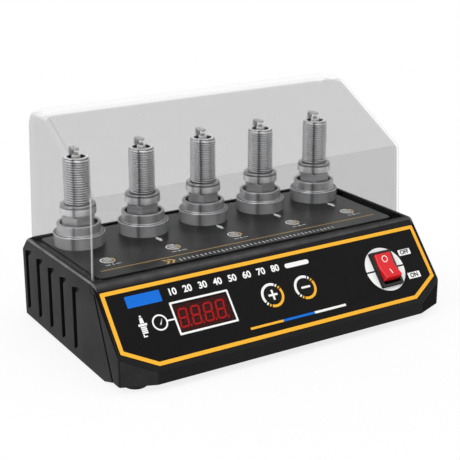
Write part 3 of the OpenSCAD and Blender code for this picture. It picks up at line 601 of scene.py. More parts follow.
def ink_mesh(shapes, words=(), lift=0.0):
    """Thin ink in millimetres: flat shapes, rings (an outer and an inner outline) and words.

    A word is a text, its place x and y, and its size.
    """
    stroke = 0.03
    bm = bmesh.new()
    for text, x, y, size in words:
        letters = bpy.data.curves.new("letters", "FONT")
        letters.body = text
        letters.size = size
        letters.offset = stroke * size
        letters.align_x = "CENTER"
        letters.align_y = "CENTER"
        letters.extrude = INK / 2
        flat = plain_mesh(placed("sketch", letters))
        flat.transform(Matrix.Translation((x, y, lift + INK / 2)))
        bm.from_mesh(flat)
    for shape in shapes:
        lines = shape if isinstance(shape, tuple) else (shape,)
        rims = [[bm.verts.new((x, y, lift)) for x, y in line] for line in lines]
        outer, inner = rims[0], rims[-1]
        if len(rims) == 2:
            around = range(len(outer))
            faces = [bm.faces.new((outer[k - 1], outer[k], inner[k], inner[k - 1])) for k in around]
        else:
            faces = [bm.faces.new(outer)]
        pulled_out(bm, faces, (0, 0, INK))
    bmesh.ops.remove_doubles(bm, verts=bm.verts, dist=0.0005)
    bmesh.ops.recalc_face_normals(bm, faces=bm.faces)
    return bm


film_black = printed_film("film_black", tone(11, 11, 11), rough=0.5)
dress(film_black, "front_overlay")
ink_yellow = printed_film("ink_yellow", tone(253, 186, 58))
ink_white = printed_film("ink_white", tone(250, 250, 248))
ink_blue = printed_film("ink_blue", tone(22, 112, 216))
ink_black = printed_film("ink_black", tone(24, 24, 24))

film_hw, film_l = 95.5, 40.8
film_cut_x, film_cut_y = 17.1, 9.8
film_corner_r = 0.8
border_w = 2.0
film_corners = [(a, b, film_corner_r) for a, b in (
    (-film_hw, 0), (film_hw, 0), (film_hw, film_cut_y - film_l), (film_hw - film_cut_x, -film_l),
    (film_cut_x - film_hw, -film_l), (-film_hw, film_cut_y - film_l))]
window_x, window_y, window_w, window_h = -46.15, -20.45, 30.1, 14.1
frame_gap, frame_line = 0.5, 1.0
frame_left = window_x - window_w / 2 - frame_gap - frame_line
gauge_x, gauge_y, gauge_r, gauge_line = -70.6, -20.4, 4.1, 0.8
needle = ((-0.45, -1.2), (0.45, -1.0), (1.7, 1.9))
lead_half, lap = 0.4, 0.1
panel_sign = (-79.6, -20.35, 1.0)
plus_place = (-5.9, -20.3)
minus_place = (14.3, -20.3)
ring_r = (6.5, 5.1)
yellow_arcs = ((31, 39), (-113, 25), (232, 240))
white_arcs = ((47, 56), (62, 209), (216, 225))
switch_place = (66.5, -20.9)
bezel_half = (7.9, 10.9)
switch_disc_r = 12.4
strip_x = (-25, -5.5, 13.9, 33.7)
strip_low, strip_high = -35.0, -33.8
blue_tab = (-84.1, -10.3, -65.4, -4.3)
white_pill = (7.3, -8.3, 22.2, -5.8)
off_tab = (79, -15.8, 87.2, -12.4)
on_tab = (79.1, -29.5, 87.3, -26)
tab_size, scale_size = 3.3, 4.9
scale_x, scale_y, scale_pitch = -67.5, -6.95, 8.6


def around_window(extra):
    """Outline round the display window, further out by extra."""
    half_w, half_h = window_w / 2 + extra, window_h / 2 + extra
    return bar(window_x - half_w, window_y - half_h, window_x + half_w, window_y + half_h, 0.5)


def switch_half(side):
    """Half of the white disc behind the switch, above or below its level gap."""
    x, y = switch_place
    split, lap_under, steps = 0.45, 0.8, 40
    start = math.degrees(math.asin(split / switch_disc_r))
    # The first points of a band are its outer arc
    arc = band(0, 0, switch_disc_r, 1, start, 180 - start, steps)[:steps + 1]
    wide, tall = bezel_half[0] - lap_under, bezel_half[1] - lap_under
    notch = [(-wide, split), (-wide, tall), (wide, tall), (wide, split)]
    return [(x + a, y + side * b) for a, b in arc + notch]


def plug_sign(x, y, size):
    """Plain sign for a spark plug, upright: terminal, insulator, hexagon, thread and hook."""
    parts = [bar(-0.5, 4.6, 0.5, 5.5, 0.2), [(-1.1, 1.6), (1.1, 1.6), (0.75, 4.3), (-0.75, 4.3)],
             bar(-2.3, 0.2, 2.3, 1.35, 0.25)]
    parts += [bar(-1.5, -0.85 - 0.95 * k, 1.5, -0.1 - 0.95 * k, 0.15) for k in range(4)]
    parts.append([(-1.5, -5.4), (0.6, -5.4), (0.6, -4.8), (-0.8, -4.8), (-0.8, -3.9), (-1.5, -3.9)])
    return [[(x + size * a, y + size * b) for a, b in part] for part in parts]


strip = [bar(start, strip_low, end, strip_high) for start, end in zip(strip_x, strip_x[1:])]
yellow_marks = [(rounded(film_corners), rounded(moved_in(film_corners, border_w))), strip[0]]
blue_marks = [bar(*blue_tab, 0.3), strip[1]]
white_marks = [(around_window(frame_gap + frame_line), around_window(frame_gap)),
               (disc(gauge_x, gauge_y, gauge_r), disc(gauge_x, gauge_y, gauge_r - gauge_line)),
               bar(gauge_x + gauge_r - lap, gauge_y - lead_half, frame_left + lap, gauge_y + lead_half),
               [(gauge_x + a, gauge_y + b) for a, b in needle], bar(*white_pill, 1.2), strip[2],
               switch_half(1), switch_half(-1), bar(*off_tab, 0.4), bar(*on_tab, 0.4)]
white_marks += plug_sign(*panel_sign)
for place in (plus_place, minus_place):
    yellow_marks += [band(*place, *ring_r, *arc) for arc in yellow_arcs]
    white_marks += [band(*place, *ring_r, *arc) for arc in white_arcs]
scale_words = [(str(10 * k), scale_x + scale_pitch * k, scale_y, scale_size) for k in range(1, 9)]
tab_words = [(text, (x0 + x1) / 2, (y0 + y1) / 2, tab_size)
             for text, (x0, y0, x1, y1) in (("OFF", off_tab), ("ON", on_tab))]
for name, bm, finish in (("panel_yellow", ink_mesh(yellow_marks), ink_yellow),
                         ("panel_white", ink_mesh(white_marks, scale_words), ink_white),
                         ("panel_blue", ink_mesh(blue_marks), ink_blue),
                         ("panel_letters", ink_mesh([], tab_words, INK), ink_black)):
    bm.transform(on_panel)
    as_piece(name, bm, finish, "case")

# Display
# A smoked red window is pressed into the panel flush with the film. Behind it stands a block of four
# seven-segment digits with their points.
window_red, tree, shader, place = new_finish(
    "window_red", Base_Color=tone(190, 40, 34), Transmission_Weight=1.0, IOR=1.2)
feed(tree, shader, Roughness=ranged(tree, noise(tree, place, scale=400.0, detail=3.0), 0.02, 0.08))
window_plate = softened("display_window", width=0.25)
as_piece("window_plate", window_plate, window_red, "case", ["display_window"])

digit_block = moulded("digit_block", tone(78, 20, 18), rough=0.6, pits=3000.0, edge_highlight=0.0)
dress(digit_block, "display_module")

# The unlit segments glow faintly with painted light.
segment_red, tree, shader, place = new_finish("segment_red", Roughness=0.5, Emission_Strength=0.4)
glow = mixed(tree, noise(tree, place, scale=2500.0, detail=2.0), tone(205, 26, 22), tone(240, 62, 52))
feed(tree, shader, Base_Color=glow, Emission_Color=glow)

digit_w, digit_h, digit_line, digit_gap = 4.3, 9.0, 0.9, 0.12
digit_pitch, digit_shift, digit_lift = 7.0, 0.4, -1.68
digit_slant = math.tan(math.radians(8))
point_gap, point_r = 1.15, 0.55


def segment(ax, ay, bx, by):
    """One pointed bar of a digit, between two of its corners."""
    start, end = Vector((ax, ay)), Vector((bx, by))
    run = (end - start).normalized()
    side = Vector((-run.y, run.x)) * digit_line / 2
    tip = run * digit_gap
    inset = run * (digit_gap + digit_line / 2)
    return [start + tip, start + inset + side, end - inset + side, end - tip, end - inset - side,
            start + inset - side]


def digit(x, y):
    """Figure eight and its point, leaning to the right."""
    half = digit_h / 2
    rows = [(0, -half), (digit_w, -half), (0, 0), (digit_w, 0), (0, half), (digit_w, half)]
    joins = [(0, 1), (2, 3), (4, 5), (0, 2), (1, 3), (2, 4), (3, 5)]
    shapes = [segment(*rows[a], *rows[b]) for a, b in joins]
    shapes.append(disc(digit_w + point_gap, -half, point_r, steps=16))
    return [[(x + a + digit_slant * b, y + b) for a, b in shape] for shape in shapes]


digits = []
for k in range(4):
    digits += digit(window_x + (k - 1.5) * digit_pitch - digit_w / 2 - digit_shift, window_y)
figures = ink_mesh(digits, lift=digit_lift)
figures.transform(on_panel)
as_piece("digits", figures, segment_red, "case")

# Plus and minus keys
# Two round caps of black ABS reach through the panel, each with a flange that keeps it from falling
# out and a printed sign on its slightly dished top. They press on small switches behind.
key_plastic = moulded("key_plastic", tone(12, 12, 12), rough=0.45, pits=4000.0, edge_highlight=0.1, level=0.1)
key_r, key_top = 4.85, 0.5
key_dish = key_top - 0.05
flange_r, flange_low, flange_high = 6.2, -4.3, -3.3
arm, tip = 0.55, 2.7
plus_line = [(arm, arm), (arm, tip), (-arm, tip), (-arm, arm), (-tip, arm), (-tip, -arm), (-arm, -arm),
             (-arm, -tip), (arm, -tip), (arm, -arm), (tip, -arm), (tip, arm)]
minus_line = bar(-tip, -arm, tip, arm)
for name, place, outline in (("plus", plus_place, plus_line), ("minus", minus_place, minus_line)):
    cap = lathe(rounded([
        (0, flange_low, 0), (flange_r, flange_low, 0.2), (flange_r, flange_high, 0.2),
        (key_r, flange_high, 0), (key_r, key_top, 0.35), (key_r - 1.2, key_top, 0.5),
        (key_r - 2.2, key_dish, 0.5), (0, key_dish, 0)], steps=4))
    sign = ink_mesh([outline], lift=key_dish)
    at_key = on_panel @ Matrix.Translation((*place, 0))
    cap.transform(at_key)
    sign.transform(at_key)
    as_piece(name + "_cap", cap, key_plastic, name + "_key", [name + "_key"])
    as_piece(name + "_sign", sign, ink_white, name + "_key")

# Rocker switch
# A snap-in switch: a black bezel and body, and a red rocker that tips on a pin between OFF and ON.
# The bezel's rim is slim, the rocker is crowned, and its two faces carry the circle and the bar.
# The rounded edges of the bezel and the inlet take a faint painted highlight.
switch_plastic = moulded("switch_plastic", tone(24, 24, 24), rough=0.36, pits=3500.0, edge_highlight=0.3)
bezel = softened("switch_frame", width=0.4, segments=3)
at_switch = on_panel @ Matrix.Translation((*switch_place, 0))
trim, rim_w = 0.5, 1.0
for vert in bezel.verts:
    place = at_switch.inverted() @ vert.co
    past_x = abs(place.x) > bezel_half[0] - rim_w
    past_y = abs(place.y) > bezel_half[1] - rim_w
    if place.z > -0.1 and (past_x or past_y):
        place.x -= math.copysign(trim, place.x) * past_x
        place.y -= math.copysign(trim, place.y) * past_y
        vert.co = at_switch @ place
as_piece("switch_bezel", bezel, switch_plastic, "case", ["switch_frame"])

# The rocker's rounded edges take a painted highlight.
rocker_red = moulded("rocker_red", tone(230, 34, 42), rough=0.26, pits=1200.0, depth=0.000006, edge_highlight=1.0,
                     level=0.2)
rocker_axis_h = -2.0
rocker_rest = math.radians(-9)
at_rocker = at_switch @ Matrix.Translation((0, 0, rocker_axis_h)) @ Matrix.Rotation(rocker_rest, 4, "X")
crown_from, crown = 3.0, 1.4
rocker_cap = softened("rocker", width=0.45, segments=3)
for vert in rocker_cap.verts:
    place = at_rocker.inverted() @ vert.co
    place.z += (crown - 1) * max(place.z - crown_from, 0)
    vert.co = at_rocker @ place
as_piece("rocker_cap", rocker_cap, rocker_red, "rocker", ["rocker"])

plain_rise, face_half = 1.3, 7.5
face_rise = crown * plain_rise
face_tilt = math.atan2(face_rise, face_half)
sign_y = 3.9
sign_z = crown_from + face_rise + sign_y * math.tan(face_tilt)
circle_sign = (disc(0, 0, 1.9), disc(0, 0, 1.45))
bar_sign = bar(-0.28, -1.6, 0.28, 1.6)
rocker_signs = bmesh.new()
for side, shape in ((1, circle_sign), (-1, bar_sign)):
    sign = ink_mesh([shape])
    sign.transform(at_rocker @ Matrix.Translation((0, side * sign_y, sign_z))
                   @ Matrix.Rotation(side * face_tilt, 4, "X"))
    flat = bpy.data.meshes.new("sign")
    sign.to_mesh(flat)
    sign.free()
    rocker_signs.from_mesh(flat)
as_piece("rocker_signs", rocker_signs, ink_white, "rocker")

# Deck print, indicator lenses and their lamps
# The deck is printed like the panel: a thin gold line, chevrons and ticks, a number at each socket and
# a sign at four of them. Five clear lenses are pressed into it over the lamps of a small board below.


def five(node):
    """Names of the five solids of a kind, one for each plug."""
    return [f"{node}_{number}" for number in range(1, 6)]


sockets = []
for core in five("plug_core"):
    low, high = box_mm(core)
    sockets.append(((low.x + high.x) / 2, (low.y + high.y) / 2))
deck_top = box_mm("deck_plate")[1].z
lens_low, lens_high = box_mm("indicator_lenses")
lens_y = (lens_low.y + lens_high.y) / 2
lens_r = (lens_high.y - lens_low.y) / 2
lens_ring, white_arc, gold_arc = (3.9, 3.2), (55, 305), (-42, 42)
deck_line = (-85, -10.5, 84, -10.1)
chevron = ((0, -18.4), (1.2, -18.4), (3.4, -15.6), (1.2, -12.8), (0, -12.8), (2.2, -15.6))
chevron_x = (-52.6, -49.6)
tick_x, tick_pitch, tick_w, tick_count, long_every = -44.0, 2.5, 0.55, 39, 5
tick_low, long_tick_low, tick_high = -17.2, -18.0, -15.0
number_y, number_size = -4.5, 2.6
dash_half, dashes = 0.25, ((-4.3, -1.5), (1.5, 4.3))
deck_sign_y, deck_sign_size = 16.9, 0.66

ink_gold = printed_film("ink_gold", tone(240, 202, 116))
deck_yellow = [bar(*deck_line)] + [[(x + a, b) for a, b in chevron] for x in chevron_x]
deck_white = []
for k in range(tick_count):
    x = tick_x + tick_pitch * k
    deck_white.append(bar(x, tick_low if k % long_every else long_tick_low, x + tick_w, tick_high))
deck_words = []
for number, (x, y) in enumerate(sockets, 1):
    deck_white.append(band(x, lens_y, *lens_ring, *white_arc))
    deck_white += [bar(x + a, number_y - dash_half, x + b, number_y + dash_half) for a, b in dashes]
    if number > 1:
        deck_white += plug_sign(x, deck_sign_y, deck_sign_size)
    deck_yellow.append(band(x, lens_y, *lens_ring, *gold_arc))
    deck_words.append((str(number), x, number_y, number_size))
for name, bm, finish in (("deck_yellow", ink_mesh(deck_yellow, lift=deck_top), ink_gold),
                         ("deck_white", ink_mesh(deck_white, deck_words, deck_top), ink_white)):
    as_piece(name, bm, finish, "case")

lens_plastic, tree, shader, place = new_finish(
    "lens_plastic", Base_Color=tone(214, 214, 208), Transmission_Weight=0.35, IOR=1.49)
frost = noise(tree, place, scale=1500.0, detail=2.0)
feed(tree, shader, Roughness=ranged(tree, frost, 0.18, 0.34))
bumped(tree, shader, frost, distance=0.00002)
lens_foot, lens_top = lens_low.z, lens_high.z
lens_shape = lathe(rounded([
    (0, lens_foot, 0), (lens_r, lens_foot, 0.2), (lens_r, lens_top - 0.25, 0.25),
    (lens_r * 0.6, lens_top - 0.04, 2), (0, lens_top, 0)], steps=5), segments=40)
lenses = set_out(lens_shape, [(x, lens_y, 0) for x, y in sockets], lens_plastic)
as_piece("lenses", lenses, lens_plastic, "case", ["indicator_lenses"])
lamp_epoxy = moulded("lamp_epoxy", tone(226, 224, 190), rough=0.2, pits=900.0, edge_highlight=0.0, level=0.5)
dress(lamp_epoxy, "indicator_leds")

# Sockets
# Each socket is a turned dark boss that insulates the plug's terminal, with a plated collar riveted
# on it that takes the hexagon. A brass strip under the deck joins the collars.


def banded_skin(name, bright, dull, reflection_bands, metal):
    """Finely turned skin in two cool greys, read as 0 to 255, with painted reflection bands along the axis.
    """
    return turned(name, tone(bright, bright, bright + 2), tone(dull, dull, dull + 2), rough=0.33,
                  fineness=7000.0, depth=0.000001, reflection_bands=reflection_bands, metal=metal)


collar_nickel = banded_skin("collar_nickel", bright=212, dull=196, reflection_bands=0.8, metal=0.8)
socket_plastic = banded_skin("socket_plastic", bright=172, dull=160, reflection_bands=0.8, metal=0.0)
boss_low, boss_high = box_mm("socket_insulator_1")
collar_low, collar_high = box_mm("ground_collar_1")
collar_top = collar_high.z
flange_z = boss_high.z
flange_reach = (boss_high.x - boss_low.x) / 2
flange_t, boss_inset = 0.9, 0.2
flange_top = flange_z + flange_t
boss_r = flange_reach - boss_inset
stem_r, bore_r, wire_r = 10.8, 7.75, 1.6
stem_foot = boss_low.z
stem_floor = stem_foot + 4
boss_shape = lathe(rounded([
    (wire_r, stem_foot, 0), (stem_r, stem_foot, 1), (stem_r, deck_top, 0), (boss_r, deck_top, 0),
    (boss_r, flange_z, 0.2), (bore_r, flange_z, 0.3), (bore_r, stem_floor, 0),
    (wire_r, stem_floor, 0)], steps=4))
spots = [(x, y, 0) for x, y in sockets]
bosses = set_out(boss_shape, spots, socket_plastic)
as_piece("socket_bosses", bosses, socket_plastic, "case", five("socket_insulator"))

collar_r, collar_in, collar_bore = 11.45, 9.7, bore_r + 0.15
collar_shape = lathe(rounded([
    (collar_bore, flange_z, 0), (flange_reach, flange_z, 0.25), (flange_reach, flange_top, 0.4),
    (collar_r + 0.1, flange_top, 0.5), (collar_r, collar_top, 0.5), (collar_in, collar_top, 0.5),
    (collar_in, flange_top, 0.3), (collar_bore, flange_top, 0)], steps=4), segments=80)
glint_mark = collar_shape.verts.layers.float.new("edge")
shade_mark = collar_shape.verts.layers.float.new("recess")
brim_w, fillet_w, lip_h = 0.38, 0.55, 0.45
brim_glint, lip_shade, flange_shade = 0.3, 0.25, 0.8
# A painted highlight goes on the flange's brim, and painted shade on the lip and on the flange's top.
for vert in collar_shape.verts:
    off_axis = vert.co.xy.length
    on_flange = vert.co.z > flange_top - brim_w and off_axis > collar_r + fillet_w
    on_brim = on_flange and off_axis > flange_reach - brim_w
    on_lip = vert.co.z > collar_top - lip_h
    vert[glint_mark] = brim_glint if on_brim else 0.0
    vert[shade_mark] = lip_shade if on_lip else flange_shade if on_flange and not on_brim else 0.0
leg_x, leg_r = 12.3, 0.9
leg_top, leg_foot = flange_z + 0.45, collar_low.z
for side in (-1, 1):
    leg = bmesh.ops.create_cone(collar_shape, cap_ends=True, segments=16, radius1=leg_r, radius2=leg_r,
                                depth=leg_top - leg_foot)
    bmesh.ops.translate(collar_shape, verts=leg["verts"], vec=(side * leg_x, 0, (leg_top + leg_foot) / 2))
collars = set_out(collar_shape, spots, collar_nickel)
as_piece("socket_collars", collars, collar_nickel, "case", five("ground_collar"))

# Spark plugs
# Five M14 plugs stand upside down in the sockets. Each has a nickel-plated steel shell with a rolled
# thread and a welded side electrode, a folded steel gasket, a ceramic body and a steel core.
thread_tree, given, put = new_group(
    "rolled_thread",
    {"Root": "Float", "Depth": "Float", "Pitch": "Float", "Turns": "Float", "Finish": "Material"},
    {"Ridge": "Geometry"}, "Geometry")
rise = math_step(thread_tree, "MULTIPLY", given["Pitch"], given["Turns"])
spiral = add(thread_tree, "GeometryNodeCurveSpiral", {
    "Resolution": 48, "Rotations": given["Turns"], "Start Radius": given["Root"], "End Radius": given["Root"],
    "Height": rise})
upright = add(thread_tree, "GeometryNodeSetCurveNormal", {"Curve": spiral.outputs[0]}, mode="Z_UP")
tooth_shares = ((0.4, -0.56), (-1.0, -0.1), (-1.0, 0.1), (0.4, 0.56))
tooth_points = {}
for number, (depth_share, pitch_share) in enumerate(tooth_shares, 1):
    sunk = math_step(thread_tree, "MULTIPLY", given["Depth"], depth_share)
    aside = math_step(thread_tree, "MULTIPLY", given["Pitch"], pitch_share)
    point = add(thread_tree, "ShaderNodeCombineXYZ", {"X": sunk, "Y": aside})
    tooth_points[f"Point {number}"] = point.outputs[0]
tooth = add(thread_tree, "GeometryNodeCurvePrimitiveQuadrilateral", tooth_points, mode="POINTS")
along = add(thread_tree, "GeometryNodeSplineParameter").outputs["Factor"]
from_end = math_step(thread_tree, "SUBTRACT", 1.0, along)
nearest = math_step(thread_tree, "MINIMUM", along, from_end)
runout = ranged(thread_tree, nearest, 0.2, 1.0, 0.0, 0.02)
ridge = add(thread_tree, "GeometryNodeCurveToMesh", {
    "Curve": upright.outputs[0], "Profile Curve": tooth.outputs[0], "Scale": runout, "Fill Caps": True})
end_tree(thread_tree, ridge.outputs[0], given["Finish"], put["Ridge"])

plug_steel = banded_skin("plug_steel", bright=250, dull=236, reflection_bands=0.95, metal=0.7)
gasket_steel = banded_skin("gasket_steel", bright=185, dull=170, reflection_bands=0.9, metal=0.8)
ceramic = moulded("ceramic", tone(206, 205, 203), rough=0.18, pits=600.0, depth=0.000006, edge_highlight=0.0, level=0.5)
core_metal = turned("core_metal", tone(170, 166, 160), tone(120, 114, 106), rough=0.36)

thread_r, thread_depth, thread_pitch, thread_turns = 7.0, 0.68, 1.25, 18.8
thread_z, thread_end = 67.6, 91.9
root_r = thread_r - thread_depth
hex_half, hex_z, hex_top = 8.0, 52.5, 61.6
hex_turn = math.radians(30)
chamfer_step, chamfer_slope = 0.2, 1.77
shoulder_r, shoulder_z, shoulder_top = 9.45, 62.2, 66.1
crimp_r, crimp_z = 7.35, 50.0
neck_r, seat_r, bore_in, bore_foot = 7.95, 5.3, 4.7, 73.5


def hexagon(angle, height):
    """Radius of the chamfered hexagon at an angle and a height."""
    corner = (angle - hex_turn + math.pi / 6) % (math.pi / 3) - math.pi / 6
    chamfer = hex_half + chamfer_step + chamfer_slope * min(height - hex_z, hex_top - height)
    return min(hex_half / math.cos(corner), chamfer)


def shell_outline():
    """Radii and heights of the shell's skin, from its crimped end round to its bore."""
    steps = (0.0, 0.15, 0.3, 0.45, 0.6)
    hex_heights = [hex_z + step for step in steps] + [hex_top - step for step in reversed(steps)]
    crimp = [(seat_r, crimp_z), (crimp_r - 0.45, crimp_z), (crimp_r - 0.15, crimp_z + 0.15),
             (crimp_r, crimp_z + 0.5), (crimp_r, hex_z)]
    neck = [(neck_r, hex_top), (neck_r - 0.15, hex_top + 0.3), (neck_r, shoulder_z)]
    shoulder = [(shoulder_r - 0.45, shoulder_z), (shoulder_r - 0.12, shoulder_z + 0.15),
                (shoulder_r, shoulder_z + 0.5), (shoulder_r, shoulder_top - 0.6),
                (shoulder_r - 0.12, shoulder_top - 0.2), (shoulder_r - 0.5, shoulder_top)]
    stem = [(root_r, shoulder_top), (root_r, thread_end - 0.35), (root_r - 0.12, thread_end - 0.08),
            (root_r - 0.4, thread_end)]
    bore = [(bore_in + 0.2, thread_end), (bore_in, thread_end - 0.2), (bore_in, bore_foot),
            (seat_r, bore_foot - 1.5)]
    return crimp + [(hexagon, height) for height in hex_heights] + neck + shoulder + stem + bore


def plug_shell():
    """Mesh of one shell: its skin, the rolled thread on it and the side electrode bent over its end."""
    bm = lathe(shell_outline(), segments=72)
    host = placed("host", bpy.data.meshes.new("host"))
    ridge = run_tree(host, thread_tree, Root=root_r, Depth=thread_depth, Pitch=thread_pitch,
                     Turns=thread_turns, Finish=plug_steel)
    ridge.transform(Matrix.Translation((0, 0, thread_z)))
    bm.from_mesh(ridge)
    bpy.data.meshes.remove(ridge)
    strap_r, strap_w, strap_t = 6.1, 2.6, 1.25
    strap_foot, strap_top, strap_end = thread_end - 0.5, 96.4, -1.4
    strap = rounded([(strap_r, strap_foot, 0), (strap_r, strap_top, 1.9), (strap_end, strap_top, 0.2),
                     (strap_end, strap_top - strap_t, 0.2), (strap_r - strap_t, strap_top - strap_t, 0.6),
                     (strap_r - strap_t, strap_foot, 0)], steps=6)
    flank = bm.faces.new([bm.verts.new((-strap_w / 2, y, z)) for y, z in strap])
    pulled_out(bm, [flank], (strap_w, 0, 0))
    strap_edges = [edge for edge in bm.edges if min(vert.co.z for vert in edge.verts) > thread_end + 0.3
                   and edge.is_manifold and edge.calc_face_angle() > math.radians(60)]
    bmesh.ops.bevel(bm, geom=strap_edges, offset=0.22, segments=2, profile=0.5, affect="EDGES",
                    clamp_overlap=True)
    bmesh.ops.recalc_face_normals(bm, faces=bm.faces)
    return bm


def shell_shades(bm):
    """Paint shade into the grooves, hexagon, bore and strap of a shell and onto its shoulder's top, and a
    highlight on the foot of its shoulder.
    """
    recess_mark = bm.verts.layers.float.new("recess")
    glint_mark = bm.verts.layers.float.new("edge")
    groove_shade, hex_shade, bore_shade, strap_shade, rim_shade = 0.68, 0.45, 0.9, 0.4, 0.5
    foot_glint = 0.4
    for vert in bm.verts:
        z, off_axis = vert.co.z, vert.co.xy.length
        sunk = (thread_r - off_axis) / thread_depth
        in_thread = shoulder_top - 0.1 < z < thread_end - 0.3 and -0.05 < sunk < 1.5
        on_shoulder = off_axis > shoulder_r - 0.6
        if on_shoulder and shoulder_top - 0.3 < z < shoulder_top + 0.1:
            vert[recess_mark] = rim_shade
        elif z > thread_end + 0.1:
            vert[recess_mark] = strap_shade
        elif off_axis < bore_in + 0.1 and z < thread_end - 0.1:
            vert[recess_mark] = bore_shade
        elif in_thread:
            vert[recess_mark] = groove_shade * min(max(sunk, 0), 1)
        elif hex_z <= z <= hex_top:
            vert[recess_mark] = hex_shade
        if on_shoulder and shoulder_z - 0.1 < z < shoulder_z + 0.4:
            vert[glint_mark] = foot_glint


shell_form = plug_shell()
shell_shades(shell_form)
for number, (x, y) in enumerate(sockets, 1):
    shell = shell_form.copy()
    bmesh.ops.translate(shell, verts=shell.verts, vec=(x, y, 0))
    as_piece(f"steel_shell_{number}", shell, plug_steel, f"plug_{number}",
             [f"plug_shell_{number}"])
shell_form.free()
dress(gasket_steel, *five("plug_gasket"))
dress(ceramic, *five("plug_insulator"))
dress(core_metal, *five("plug_core"))

# Power inlet
# A round jack of black plastic takes the plug of a low-voltage supply. It stands in a hole of the rear
# wall, and a plated nut on the inside holds it there.
# Its rounded edges take a faint painted highlight.
inlet = softened("dc_jack", width=0.2)
as_piece("inlet", inlet, switch_plastic, "case", ["dc_jack"])
dress(screw_steel, "jack_nut")

# Clear cover
# The cover is one acrylic moulding with an upright front, a slope and a flat top. It stands loose in
# the groove round the deck and is lifted off by hand. Its edges carry a painted highlight, and each
# pane its own grey, which holds painted shade over the acrylic's tint.


def blended(tree, share, first, second):
    """Shader that goes from first to second with share."""
    return add(tree, "ShaderNodeMixShader", {0: share, 1: first.outputs[0], 2: second.outputs[0]})


acrylic, tree, shader, place = new_finish("acrylic", Transmission_Weight=1.0, IOR=1.01, Roughness=0.0)
# The tint mark carries the acrylic's grey together with the painted shade of each pane.
tint_and_shade = marked(tree, "tint_and_shade")
smeared = mixed(tree, noise(tree, place, scale=14.0, detail=4.0), grey(0.58), grey(0.62))
feed(tree, shader, Base_Color=mixed(tree, tint_and_shade, grey(0.97), smeared))
clear = add(tree, "ShaderNodeBsdfTransparent", {"Color": ranged(tree, tint_and_shade, 0.985, 0.565)})
# White diffuse on marked edges is a painted highlight.
lit_edge = add(tree, "ShaderNodeBsdfDiffuse", {"Color": grey(0.95)})
open_way = add(tree, "ShaderNodeBsdfTransparent", {"Color": grey(0.95)})
edge_share = math_step(tree, "MULTIPLY", marked(tree, "edge"), 0.5)
edged = blended(tree, edge_share, blended(tree, 0.85, shader, clear), lit_edge)
shadow_ray = add(tree, "ShaderNodeLightPath").outputs["Is Shadow Ray"]
through = blended(tree, shadow_ray, edged, open_way)
feed(tree, tree.nodes["Material Output"], Surface=through.outputs[0])

cover_low, cover_high = box_mm("cover")
cover_foot, cover_top = cover_low.z, cover_high.z
cover_front, cover_back = cover_low.y, 55.1
cover_hw = cover_high.x
cover_draft, cover_wall, cover_edge_r = 2.4, 2.6, 3.6
slope_foot, slope_top = 86.8, 31.3
cover_profile = [(cover_front, cover_foot, 0), (cover_front + 1.2, slope_foot, 5), (slope_top, cover_top, 5),
                 (cover_back + 0.5, cover_top, 10), (cover_back, cover_foot, 0)]
arc_steps = 6
main_row = arc_steps + 1
# Each pane's grey share holds painted shade over the acrylic's tint; darker lines along the slope's edges are
# painted shade, and clear rows along the right edge a painted highlight.
left_shade_top, shade_top = 113.0, 109.5
front_shade, slope_shade, rear_shade, left_shade, right_shade = 0.78, 0.52, 0.47, 0.58, 0.47
left_line, left_line_shade = 3, 0.7
right_line, right_line_shade = (10, 11), 0.9


def cover_line(depth):
    """The cover's side view moved in by a depth, from its front foot to its rear foot."""
    moved = [(a, b, radius - depth if radius else 0)
             for (a, b, _), (_, _, radius) in zip(moved_in(cover_profile, depth), cover_profile)]
    moved[0] = (cover_front + depth, cover_foot, 0)
    moved[-1] = (cover_back - depth, cover_foot, 0)
    return rounded(moved, steps=8)


def cover_skin(bm, depth):
    """Rows of points across the cover, from its left side to its right, moved in by a depth.

    Each side is an arc of rows, and a narrow strip lies between the left arc and the main pane.
    """
    radius = cover_edge_r - depth
    rows = []
    for side in (-1, 1):
        for k in range(arc_steps + 1):
            angle = math.radians(90 * (arc_steps - k if side < 0 else k) / arc_steps)
            inset = depth + radius * (1 - math.cos(angle))
            reach = cover_hw - depth - radius + radius * math.sin(angle)
            row = []
            for y, z in cover_line(inset):
                draft = cover_draft * (z - cover_foot) / (cover_top - cover_foot)
                row.append(bm.verts.new((side * (reach - draft), y, z)))
            rows.append(row)
    strip_share = 0.03
    beside_left = zip(rows[arc_steps], rows[main_row])
    rows.insert(main_row, [bm.verts.new(left.co.lerp(right.co, strip_share)) for left, right in beside_left])
    return rows


def pane_tint(row, upright, slope, z):
    """How grey the outer face of a pane looks, with its painted shade: a share of the tint."""
    if row > main_row and (upright or slope):
        return right_line_shade if row in right_line else 0.0
    if upright:
        return front_shade
    if slope:
        return left_line_shade if row == left_line else slope_shade
    return rear_shade if z < (left_shade_top if row < main_row else shade_top) else 0.0


